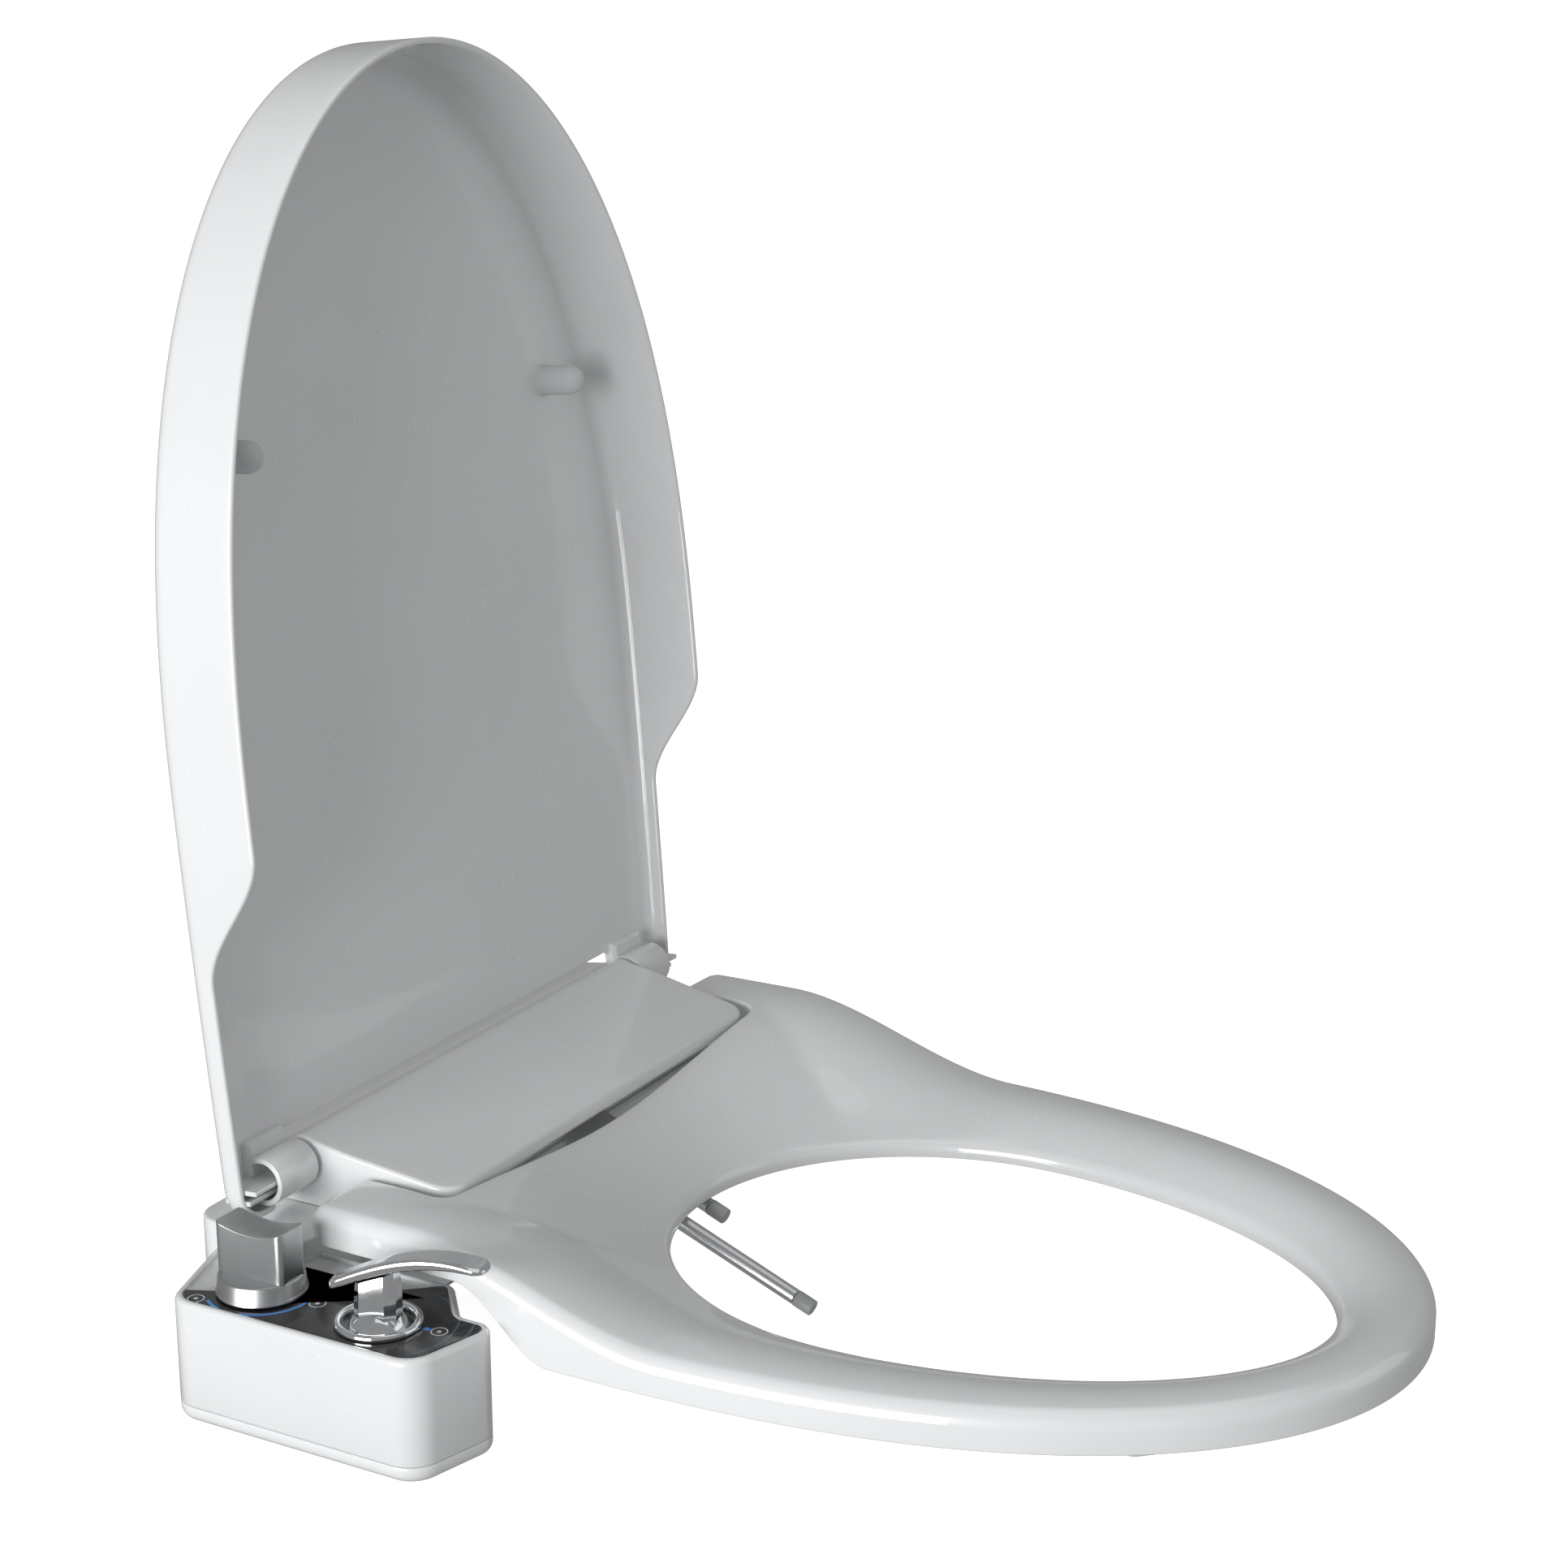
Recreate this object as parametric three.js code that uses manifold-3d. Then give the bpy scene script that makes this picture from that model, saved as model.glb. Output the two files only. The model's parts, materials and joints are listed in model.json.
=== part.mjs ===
// A bidet seat with side controls: lid, seat ring, rear base with two nozzles, and a control box.
// Millimetres, +Z up. The origin is on the bowl deck, straight below the lid's hinge axis.
// The seat points along -Y, and the control box is on the -X side.
import * as THREE from "three";
import { mergeVertices } from "three/addons/utils/BufferGeometryUtils.js";
import Module from "manifold-3d";

const wasm = await Module();
wasm.setup();

// ---------- driving sizes ----------
const GAP = 0.3; // between two pieces that touch

const HINGE_Z = 58; // height of the lid's axis over the bowl deck
const SEAT_AXIS = { y: -40, z: HINGE_Z - 11 }; // the seat turns about the round ends of its ears
const PIN_R = 4;
const PIN_CLEARANCE = 0.4;

const LID = {
  halfWidth: 189,
  halfWidthRear: 186, // at the hinge
  widest: 170, // distance from the axis to the widest place
  length: 498, // axis to tip
  below: 16, // the shell reaches this far past the axis
  cornerR: 16,
  wall: 3,
  back: 13, // axis plane to outer back face, far enough to shut over the deck
  edgeR: 9,
  rimDeep: 33.4, // axis plane to the rim of the deep skirt
  rimShallow: 1.2, // the same, beside the controls
  notchFrom: 98, // the skirt gets deeper between these distances
  notchTo: 160,
  lean: THREE.MathUtils.degToRad(4.73),
};
const BARREL = { r: 11.5, bore: 8.8, from: 143, to: 170, floor: 4 };
const LID_BUMPER = { x: 130, s: 325, r: 7.5, tip: 14 };

const DECK = {
  halfWidth: 140,
  halfWidthLip: 135,
  lipY: -80,
  lipTop: -1, // relative to the axis, like all deck heights
  bossR: 11.5,
  bossFrom: 0.47, // radians past the boss's top, where the slope to the lip starts
  rearY: 40,
  rearTop: 4,
  wall: 2.5,
  bottom: -22,
};
const HOUSING = { left: -176, right: 148, front: -66, rear: 38, wall: 2.6, cornerR: 12 };
const PLATE_T = 2.2;

const SEAT = {
  clearance: 8, // lid outline to seat outline
  rearY: -30.5,
  cornerR: 9,
  wall: 2.8,
  earTop: -2, // heights relative to the lid's axis
  ringTop: -32,
  holeTop: -42,
  earBottom: -19,
  ringBottom: -49.5,
  crown: 3.5,
  edgeR: 7,
  cutGap: 1.5, // deck lip to the ring's cut-out
};
const HOLE = { front: -448, rear: -131, widest: -262, halfWidth: 117.5 };
const SEAT_PLATE = { sunk: 0.8, thickness: 2 };
const SEAT_BUMPER = { length: 28, width: 14 };

const BOX = {
  outer: -233,
  frontOuter: -127,
  frontInner: -144,
  inner: -184,
  innerFrom: -118,
  under: -160, // the inner wall under the seat's ear
  rearOuter: 4,
  rearInner: 34,
  top: HINGE_Z - 32,
  seam: HINGE_Z - 82.3,
  bottom: HINGE_Z - 91,
  wall: 2.5,
  footR: 6.5,
};
const PANEL = { inset: 3.5, thickness: 1.4 };
const KNOB = {
  x: -206,
  y: -27,
  r: 20.5,
  discH: 9,
  gripW: 18,
  gripL: 36,
  gripCorner: 2.5,
  top: 34,
  scoopR: 52,
  scoopDip: 3.5,
};
const LEVER = {
  x: -207.5,
  y: -91.5,
  bezelR: 19.5,
  domeR: 14.5,
  stemW: 20,
  stemD: 15,
  back: 22,
  reach: 52,
  width: 15,
  thickness: 5.5, // halfway along the blade
  heelT: 5,
  fingerT: 3,
  height: 17, // the blade over the panel at its axis
  rise: 14, // from the axis to the finger end
  heelDrop: 3,
  arch: 1.9, // radians of a sine wave that the blade follows
  turn: THREE.MathUtils.degToRad(12),
};
const SPINDLE_R = 4;
const NOZZLE = {
  x: 12,
  r: 4,
  bore: 2.2,
  length: 122,
  tipLength: 10,
  travel: 66,
  exitY: -138, // where a retracted tip ends
  exitZ: HINGE_Z - 59.2,
  slope: THREE.MathUtils.degToRad(21.6),
};
const GUIDE = { front: -108, length: 70, wall: 3.5 };
const BOLT = { x: 70, y: -6, r: 5, length: 62, headR: 10, headH: 6, nutR: 13, nutH: 16 };
const MOUNT = { halfWidth: 92, front: -32, rear: 26, thickness: 6 };
const BUTTON = { y: -14, z: 20, w: 34, h: 14, out: 4, stem: 16 };
const INLET = { x: [-62, -98], z: 20, r: 10, out: 20, flange: 14 };
const SCREW = { r: 2, headR: 3.6, length: 10, headH: 1 };

// ---------- materials ----------
const plastic = (color, roughness) => new THREE.MeshStandardMaterial({ color, roughness, metalness: 0 });
const metal = (color, roughness) => new THREE.MeshStandardMaterial({ color, roughness, metalness: 1 });
const WHITE = plastic(0xe9eef0, 0.22);
const GREY = plastic(0xa4a8aa, 0.4);
const SATIN = plastic(0x9b9fa1, 0.3);
const GLASS = plastic(0x141516, 0.12);
const CHROME = metal(0xd5d8da, 0.08);
const STEEL = metal(0xb8babd, 0.35);
const BRASS = metal(0xb8924d, 0.35);
const RUBBER = plastic(0xd9dcdc, 0.6);
const TUBING = plastic(0xf1f2f2, 0.5);

// ---------- shapes ----------
const root = new THREE.Group();
const lidGroup = new THREE.Group();
lidGroup.position.set(0, 0, HINGE_Z);
lidGroup.rotation.x = -LID.lean;
root.add(lidGroup);

const smooth = (t) => {
  const u = Math.min(1, Math.max(0, t));
  return u * u * (3 - 2 * u);
};

// A closed three.js geometry as a manifold solid.
function solid(geometry) {
  const g = geometry.clone();
  g.deleteAttribute("normal");
  g.deleteAttribute("uv");
  const merged = mergeVertices(g, 1e-4);
  const vertProperties = new Float32Array(merged.attributes.position.array);
  return new wasm.Manifold(
    new wasm.Mesh({ numProp: 3, vertProperties, triVerts: new Uint32Array(merged.index.array) }),
  );
}

// A manifold solid as a named mesh in a group.
function piece(name, body, material, group = root) {
  const made = body.getMesh();
  const geometry = new THREE.BufferGeometry();
  geometry.setAttribute("position", new THREE.BufferAttribute(made.vertProperties, 3));
  geometry.setIndex(new THREE.BufferAttribute(made.triVerts, 1));
  geometry.computeVertexNormals();
  const mesh = new THREE.Mesh(geometry, material);
  mesh.name = name;
  group.add(mesh);
  return body;
}

function box(x0, x1, y0, y1, z0, z1) {
  const g = new THREE.BoxGeometry(x1 - x0, y1 - y0, z1 - z0);
  return solid(g.translate((x0 + x1) / 2, (y0 + y1) / 2, (z0 + z1) / 2));
}

function cylinderZ(r, x, y, z0, z1, sides = 24, rTop = r) {
  const g = new THREE.CylinderGeometry(rTop, r, z1 - z0, sides);
  return solid(g.rotateX(Math.PI / 2).translate(x, y, (z0 + z1) / 2));
}

function cylinderX(r, x0, x1, y, z, sides = 24) {
  const g = new THREE.CylinderGeometry(r, r, x1 - x0, sides);
  return solid(g.rotateZ(Math.PI / 2).translate((x0 + x1) / 2, y, z));
}

function cylinderY(r, x, y0, y1, z, sides = 24) {
  const g = new THREE.CylinderGeometry(r, r, y1 - y0, sides);
  return solid(g.translate(x, (y0 + y1) / 2, z));
}

function prismZ(points, z0, z1) {
  const shape = new THREE.Shape(points.map(([x, y]) => new THREE.Vector2(x, y)));
  const g = new THREE.ExtrudeGeometry(shape, { depth: z1 - z0, bevelEnabled: false });
  return solid(g.translate(0, 0, z0));
}

// The profile is given as (y, z) and runs from x0 to x1.
function prismX(points, x0, x1) {
  const shape = new THREE.Shape(points.map(([y, z]) => new THREE.Vector2(y, z)));
  const g = new THREE.ExtrudeGeometry(shape, { depth: x1 - x0, bevelEnabled: false });
  const turn = new THREE.Matrix4().set(0, 0, 1, x0, 1, 0, 0, 0, 0, 1, 0, 0, 0, 0, 0, 1);
  return solid(g.applyMatrix4(turn));
}

function tube(points, r, sides = 8, steps = 24) {
  const curve = new THREE.CatmullRomCurve3(points.map((p) => new THREE.Vector3(...p)));
  const ring = Array.from({ length: sides }, (_, i) => {
    const a = (2 * Math.PI * i) / sides;
    return new THREE.Vector2(r * Math.cos(a), r * Math.sin(a));
  });
  return solid(new THREE.ExtrudeGeometry(new THREE.Shape(ring), { steps, extrudePath: curve }));
}

// Corners are (x, y, radius); each becomes an arc.
function rounded(corners, steps = 4) {
  const at = (i) => new THREE.Vector2(...corners[(i + corners.length) % corners.length]);
  return corners.flatMap(([x, y, r = 0], i) => {
    const here = new THREE.Vector2(x, y);
    if (!r) return [[x, y]];
    const a = at(i - 1).sub(here).normalize();
    const b = at(i + 1).sub(here).normalize();
    const half = Math.acos(THREE.MathUtils.clamp(a.dot(b), -1, 1)) / 2;
    const centre = a.clone().add(b).normalize().multiplyScalar(r / Math.sin(half)).add(here);
    const from = a.clone().multiplyScalar(r / Math.tan(half)).add(here).sub(centre);
    const to = b.clone().multiplyScalar(r / Math.tan(half)).add(here).sub(centre);
    const start = Math.atan2(from.y, from.x);
    let sweep = Math.atan2(to.y, to.x) - start;
    if (sweep > Math.PI) sweep -= 2 * Math.PI;
    if (sweep < -Math.PI) sweep += 2 * Math.PI;
    return Array.from({ length: steps + 1 }, (_, k) => {
      const angle = start + (sweep * k) / steps;
      return [centre.x + r * Math.cos(angle), centre.y + r * Math.sin(angle)];
    });
  });
}

const signedArea = (loop) =>
  loop.reduce((sum, [x, y], i) => {
    const [u, v] = loop[(i + 1) % loop.length];
    return sum + (x * v - u * y) / 2;
  }, 0);

// Moves a closed outline inwards by d.
function inset(loop, d) {
  const side = Math.sign(signedArea(loop));
  return loop.map(([x, y], i) => {
    const [px, py] = loop[(i + loop.length - 1) % loop.length];
    const [nx, ny] = loop[(i + 1) % loop.length];
    const a = new THREE.Vector2(x - px, y - py).normalize();
    const b = new THREE.Vector2(nx - x, ny - y).normalize();
    const mean = a.clone().add(b).normalize();
    const stretch = 1 / Math.max(0.5, mean.dot(a));
    return [x - side * mean.y * d * stretch, y + side * mean.x * d * stretch];
  });
}

// A skin through a row of loops of equal length, as (x, y, z) points.
function skin(loops, joined) {
  const n = loops[0].length;
  const index = [];
  for (let k = 0; k < (joined ? loops.length : loops.length - 1); k++) {
    const a = k * n;
    const b = ((k + 1) % loops.length) * n;
    for (let i = 0; i < n; i++) {
      const j = (i + 1) % n;
      index.push(a + i, a + j, b + j, a + i, b + j, b + i);
    }
  }
  return index;
}

function fromFaces(position, index) {
  const g = new THREE.BufferGeometry();
  g.setAttribute("position", new THREE.Float32BufferAttribute(position, 3));
  g.setIndex(index);
  return solid(g);
}

// A skin whose last loop meets its first.
const ringSolid = (loops) => fromFaces(loops.flat(2), skin(loops, true));

// Anticlockwise outlines of equal length, stacked at rising heights and capped at both ends.
function stack(outlines, heights) {
  const loops = outlines.map((outline, k) => outline.map(([x, y]) => [x, y, heights[k]]));
  const index = skin(loops, false);
  const cap = (outline) =>
    THREE.ShapeUtils.triangulateShape(outline.map(([x, y]) => new THREE.Vector2(x, y)), []);
  const top = (loops.length - 1) * loops[0].length;
  cap(outlines[0]).forEach(([a, b, c]) => index.push(a, c, b));
  cap(outlines[loops.length - 1]).forEach(([a, b, c]) => index.push(top + a, top + b, top + c));
  return fromFaces(loops.flat(2), index);
}

// Runs an outline anticlockwise, whichever way it was drawn.
const anticlockwise = (loop) => (signedArea(loop) < 0 ? [...loop].reverse() : loop);

const spread = (count, from, to) =>
  Array.from({ length: count }, (_, i) => from + ((to - from) * i) / (count - 1));
const SIDES = [[-1, "left"], [1, "right"]];
const ordered = (a, b) => (a < b ? [a, b] : [b, a]);
const pinHole = (x0, x1, y, z) => cylinderX(PIN_R + PIN_CLEARANCE, ...ordered(x0, x1), y, z, 20);

// ---------- lid ----------
// The outline is (x, s), with s the distance from the axis towards the tip. The front half is a
// superellipse, the sides run in by a parabola, and the corners past the axis are arcs.
function lidOutline(step = 12) {
  const reach = LID.length - LID.widest;
  const tip = spread(step + 1, 0, Math.PI / 2).map((u) => [
    LID.halfWidth * Math.sin(u),
    LID.widest + reach * Math.max(0, Math.cos(u)) ** (1 / 1.2),
  ]);
  const side = [130, 90, 50].map((s) => {
    const t = (LID.widest - s) / (LID.widest + LID.below);
    return [LID.halfWidth - (LID.halfWidth - LID.halfWidthRear) * t * t, s];
  });
  const c = [LID.halfWidthRear - LID.cornerR, LID.cornerR - LID.below];
  const corner = spread(5, 0, Math.PI / 2).map((a) => [
    c[0] + LID.cornerR * Math.cos(a),
    c[1] - LID.cornerR * Math.sin(a),
  ]);
  const half = [...tip, ...side, ...corner];
  const other = half.slice(1).reverse().map(([x, s]) => [-x, s]);
  return anticlockwise([...half, ...other]);
}

// Depth of the skirt's rim in front of the axis plane.
const rimDepth = (s) =>
  LID.rimShallow +
  (LID.rimDeep - LID.rimShallow) * smooth((s - LID.notchFrom) / (LID.notchTo - LID.notchFrom));

// A dish stacked along the depth m, then stood up: (x, s, m) becomes (x, -m, s).
function dish(outline, wall, open) {
  const r = LID.edgeR - wall;
  const turn = spread(4, 0, Math.PI / 2);
  const outlines = turn.map((a) => inset(outline, wall + r * (1 - Math.sin(a))));
  const heights = turn.map((a) => wall - LID.back + r * (1 - Math.cos(a)));
  return stack([...outlines, inset(outline, wall)], [...heights, open]).rotate([90, 0, 0]);
}

function lidShell() {
  const outline = lidOutline();
  const open = LID.rimDeep + 10;
  const rim = spread(13, LID.notchFrom, LID.notchTo).map((s) => [-rimDepth(s), s]);
  const past = -open - 10;
  const above = LID.length + 20;
  const front = [[past, -60], [-LID.rimShallow, -60], ...rim, [-LID.rimDeep, above], [past, above]];
  const wide = LID.halfWidth + 20;
  const between = BARREL.from - GAP;
  let shell = dish(outline, 0, open)
    .subtract(dish(outline, LID.wall, open + 5))
    .subtract(prismX(front, -wide, wide))
    .subtract(box(-between, between, -40, 40, -60, DECK.bossR + 2));
  const panel = LID.back - LID.wall + 1;
  for (const [side] of SIDES) {
    const [x0, x1] = ordered(side * BARREL.from, side * BARREL.to);
    const bore = ordered(side * (BARREL.from + BARREL.floor), side * (BARREL.to + 5));
    const rib = ordered(side * (BARREL.from + BARREL.floor - 1), side * (LID.halfWidthRear - 2));
    shell = shell
      .add(cylinderX(BARREL.r, x0, x1, 0, 0, 32))
      .add(box(x0, x1, 0, panel, -BARREL.r, BARREL.r + 6))
      .subtract(cylinderX(BARREL.bore, ...bore, 0, 0, 32))
      .add(box(...rib, 1 - BARREL.bore, panel, -1.2, 1.2))
      .subtract(pinHole(side * (BARREL.from - 1), side * (BARREL.from + BARREL.floor + 3), 0, 0));
  }
  return shell;
}

piece("lid_shell", lidShell(), WHITE, lidGroup);
for (const [side, word] of SIDES) {
  const [x, s, r] = [side * LID_BUMPER.x, LID_BUMPER.s, LID_BUMPER.r];
  const end = r - LID_BUMPER.tip;
  const dome = solid(new THREE.SphereGeometry(r, 20, 10).translate(x, end, s));
  const post = cylinderY(r, x, end, LID.back - LID.wall - GAP, s, 20);
  piece(`lid_bumper_${word}`, post.add(dome), RUBBER, lidGroup);
}

// ---------- base ----------
const axisZ = (height) => HINGE_Z + height; // a height given over the lid's axis

// Side view of the deck: a round boss about the axis that thins out to a lip at the front.
function deckProfile() {
  const boss = spread(5, Math.PI / 2 + DECK.bossFrom, Math.PI / 4).map((a) => [
    DECK.bossR * Math.cos(a),
    DECK.bossR * Math.sin(a),
  ]);
  return [
    [DECK.lipY + 16, DECK.bottom],
    [DECK.lipY + 16, DECK.lipTop - 13],
    [DECK.lipY + 9, DECK.lipTop - 9.5],
    [DECK.lipY + 1.5, DECK.lipTop - 8],
    [DECK.lipY, DECK.lipTop - 6.5],
    [DECK.lipY + 1, DECK.lipTop - 0.8],
    [DECK.lipY + 3.5, DECK.lipTop],
    ...boss,
    [DECK.rearY - 6, DECK.rearTop],
    [DECK.rearY, DECK.rearTop - 6],
    [DECK.rearY, DECK.bottom],
  ].map(([y, h]) => [y, axisZ(h)]);
}

// What hollows the deck: the same top line one wall lower, behind the lip.
function deckHollow() {
  const t = DECK.wall;
  const front = DECK.lipY + 16 + t;
  return [
    [front, DECK.bottom - 20],
    [front, DECK.lipTop - 6],
    [front + 8, DECK.lipTop],
    [-2, DECK.bossR - t],
    [8, DECK.bossR - t - 3],
    [DECK.rearY - 6, DECK.rearTop - t - 1],
    [DECK.rearY - t, DECK.rearTop - 8],
    [DECK.rearY - t, DECK.bottom - 20],
  ].map(([y, h]) => [y, axisZ(h)]);
}

const deckPlan = rounded([
  [-DECK.halfWidthLip, DECK.lipY - 0.01, 12],
  [DECK.halfWidthLip, DECK.lipY - 0.01, 12],
  [DECK.halfWidth, -24],
  [DECK.halfWidth, DECK.rearY + 0.01, 6],
  [-DECK.halfWidth, DECK.rearY + 0.01, 6],
  [-DECK.halfWidth, -24],
]);

// Both nozzles slide along one slope, forwards and down.
const nozzleDir = new THREE.Vector3(0, -Math.cos(NOZZLE.slope), -Math.sin(NOZZLE.slope));
function alongNozzle(geometry, x, front, length) {
  const z = NOZZLE.exitZ + (front - NOZZLE.exitY) * Math.tan(NOZZLE.slope);
  const centre = new THREE.Vector3(x, front, z).addScaledVector(nozzleDir, -length / 2);
  return solid(geometry.rotateX(NOZZLE.slope).translate(centre.x, centre.y, centre.z));
}
const nozzleRod = (r, x, front, length, sides = 20) =>
  alongNozzle(new THREE.CylinderGeometry(r, r, length, sides), x, front, length);

function guideBar(extra) {
  const width = 2 * (NOZZLE.x + NOZZLE.r + GUIDE.wall + extra);
  const height = 2 * (NOZZLE.r + GUIDE.wall + extra) - 2;
  return alongNozzle(new THREE.BoxGeometry(width, GUIDE.length, height), 0, GUIDE.front, GUIDE.length);
}

function baseCover() {
  const under = box(-400, 400, -400, 400, -200, axisZ(DECK.bottom));
  const hollow = prismX(deckHollow(), -400, 400)
    .intersect(prismZ(inset(deckPlan, DECK.wall), -50, axisZ(60)));
  let cover = prismX(deckProfile(), -DECK.halfWidth, DECK.halfWidth)
    .intersect(prismZ(deckPlan, 0, axisZ(60)))
    .subtract(under)
    .subtract(hollow)
    .subtract(guideBar(GAP));
  for (const [side] of SIDES) {
    const [x0, x1] = [side * (DECK.halfWidth - 20), side * (DECK.halfWidth + 5)];
    cover = cover
      .subtract(pinHole(x0, x1, 0, HINGE_Z))
      .subtract(pinHole(x0, x1, SEAT_AXIS.y, SEAT_AXIS.z));
  }
  return cover;
}

const armFront = HOUSING.front + 40; // the housing is shallower where it runs under the seat's ears
const housingPlan = rounded([
  [HOUSING.left, armFront, 8],
  [8 - DECK.halfWidth, armFront],
  [8 - DECK.halfWidth, HOUSING.front, HOUSING.cornerR],
  [DECK.halfWidth - 8, HOUSING.front, HOUSING.cornerR],
  [DECK.halfWidth - 8, armFront],
  [HOUSING.right, armFront, 4],
  [HOUSING.right, HOUSING.rear, HOUSING.cornerR],
  [HOUSING.left, HOUSING.rear, HOUSING.cornerR + 2],
]);
const housingTop = axisZ(DECK.bottom) - GAP;
const housingFloor = PLATE_T + GAP;

// The way through from the base into the control box.
const PASSAGE = { front: -23, rear: 17, low: 5, high: 24 };
const passage = () =>
  box(HOUSING.left - 10, HOUSING.left + 10, PASSAGE.front, PASSAGE.rear, PASSAGE.low, PASSAGE.high);

function buttonBlock(extra, x0, x1) {
  const [w, h] = [BUTTON.w / 2 + extra, BUTTON.h / 2 + extra];
  return box(x0, x1, BUTTON.y - w, BUTTON.y + w, BUTTON.z - h, BUTTON.z + h);
}

function baseHousing() {
  const t = HOUSING.wall;
  const w = DECK.halfWidth - DECK.wall - 10;
  let body = prismZ(housingPlan, housingFloor, housingTop)
    .subtract(prismZ(inset(housingPlan, t), -10, housingTop - t))
    .subtract(box(-w, w, HOUSING.front + 6, HOUSING.rear - 6, housingTop - 10, housingTop + 10))
    .subtract(guideBar(GAP))
    .subtract(passage())
    .subtract(buttonBlock(0.5, HOUSING.right - 10, HOUSING.right + 10));
  for (const x of INLET.x) body = body.subtract(cylinderY(INLET.r + GAP, x, 0, 80, INLET.z));
  return body;
}

piece("base_cover", baseCover(), WHITE);
piece("base_housing", baseHousing(), WHITE);

const mountEdge = (gap) => {
  const x = MOUNT.halfWidth + gap;
  return [-x, x, MOUNT.front - gap, MOUNT.rear + gap];
};
const mountHole = box(...mountEdge(0.5), -5, 10);
const screwSpots = [[-120, -50], [120, -50], [-120, 22], [120, 22]];
const screwHole = (x, y, z) =>
  cylinderZ(SCREW.r + GAP, x, y, z - 5, z + 10, 12)
    .add(cylinderZ(SCREW.headR + GAP, x, y, z - 5, z + SCREW.headH + GAP, 16));
const screw = (x, y, z) =>
  cylinderZ(SCREW.r, x, y, z, z + SCREW.length, 12)
    .add(cylinderZ(SCREW.headR, x, y, z, z + SCREW.headH, 16));
let bottomPlate = prismZ(inset(housingPlan, 1), 0, PLATE_T).subtract(mountHole);
screwSpots.forEach(([x, y]) => {
  bottomPlate = bottomPlate.subtract(screwHole(x, y, 0));
});
piece("base_bottom_plate", bottomPlate, GREY);

// The base slides onto this plate, which the two bolts hold on the bowl.
let mountPlate = box(...mountEdge(0), 0, MOUNT.thickness);
SIDES.forEach(([side]) => {
  mountPlate = mountPlate.subtract(cylinderZ(BOLT.r + 0.5, side * BOLT.x, BOLT.y, -5, 20));
});
piece("mounting_plate", mountPlate, GREY);
for (const [side, word] of SIDES) {
  const x = side * BOLT.x;
  const top = MOUNT.thickness + GAP;
  const shank = cylinderZ(BOLT.r, x, BOLT.y, top - BOLT.length, top + 1, 20);
  const head = cylinderZ(BOLT.headR, x, BOLT.y, top, top + BOLT.headH, 24);
  piece(`mounting_bolt_${word}`, shank.add(head), GREY);
  const washerTop = top - BOLT.length + BOLT.nutH + 14;
  const bore = cylinderZ(BOLT.r + GAP, x, BOLT.y, -100, 100, 20);
  const washer = cylinderZ(BOLT.nutR - 4, x, BOLT.y, washerTop - 8, washerTop, 24, BOLT.nutR + 2);
  piece(`mounting_washer_${word}`, washer.subtract(bore), RUBBER);
  const nutTop = washerTop - 8 - GAP;
  const nut = cylinderZ(BOLT.nutR, x, BOLT.y, nutTop - BOLT.nutH, nutTop, 6);
  piece(`mounting_nut_${word}`, nut.subtract(bore), GREY);
}

screwSpots.forEach(([x, y], i) => piece(`base_screw_${i + 1}`, screw(x, y, 0), STEEL));

const button = buttonBlock(0, HOUSING.right - 6, HOUSING.right + BUTTON.out);
const stemEnd = HOUSING.right - 5;
const buttonStem = box(stemEnd - BUTTON.stem - 1, stemEnd, BUTTON.y - 4, BUTTON.y + 4, 16, 24);
piece("release_button", button.add(buttonStem), GREY);

// Lid dampers fill the bosses, and their shafts reach into the barrels.
for (const [side, word] of SIDES) {
  const inner = side * (DECK.halfWidth - DECK.wall - GAP);
  const body = cylinderX(DECK.bossR - 4.5, ...ordered(inner - side * 44, inner), 0, HINGE_Z, 24);
  const reach = side * (BARREL.from + BARREL.floor + 2);
  piece(`lid_damper_${word}`, body.add(cylinderX(PIN_R, ...ordered(inner, reach), 0, HINGE_Z, 20)), STEEL);
  const pin = cylinderX(PIN_R, ...ordered(side * 122, side * 154), SEAT_AXIS.y, SEAT_AXIS.z, 20);
  const collar = ordered(side * 121, side * (DECK.halfWidthLip - DECK.wall));
  const head = cylinderX(PIN_R + 2.5, ...collar, SEAT_AXIS.y, SEAT_AXIS.z, 20);
  piece(`seat_pin_${word}`, pin.add(head), STEEL);
}

// ---------- nozzles ----------
let guide = guideBar(0);
const NOZZLES = [["rear", -NOZZLE.x, NOZZLE.travel], ["front", NOZZLE.x, 0]];
NOZZLES.forEach(([, x]) => {
  guide = guide.subtract(nozzleRod(NOZZLE.r + PIN_CLEARANCE, x, GUIDE.front - 5, GUIDE.length + 20));
});
piece("nozzle_guide", guide, GREY);
for (const [word, x, out] of NOZZLES) {
  const front = NOZZLE.exitY - out * Math.cos(NOZZLE.slope);
  const tipStep = (NOZZLE.tipLength + GAP) * Math.cos(NOZZLE.slope);
  const tubeLength = NOZZLE.length - NOZZLE.tipLength;
  const bore = nozzleRod(NOZZLE.bore, x, front - 2, NOZZLE.length + 8, 12);
  const rod = nozzleRod(NOZZLE.r - 0.2, x, front + tipStep, tubeLength);
  piece(`${word}_nozzle_tube`, rod.subtract(bore), STEEL);
  const tip = nozzleRod(NOZZLE.r, x, front, NOZZLE.tipLength);
  const mid = new THREE.Vector3(x, front, NOZZLE.exitZ + (front - NOZZLE.exitY) * Math.tan(NOZZLE.slope));
  mid.addScaledVector(nozzleDir, -NOZZLE.tipLength / 2);
  const spray = cylinderZ(0.8, mid.x, mid.y, mid.z, mid.z + 10, 10);
  const inside = nozzleRod(NOZZLE.bore, x, front + 2.5, NOZZLE.tipLength, 12);
  piece(`${word}_nozzle_tip`, tip.subtract(inside).subtract(spray), GREY);
}

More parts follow.
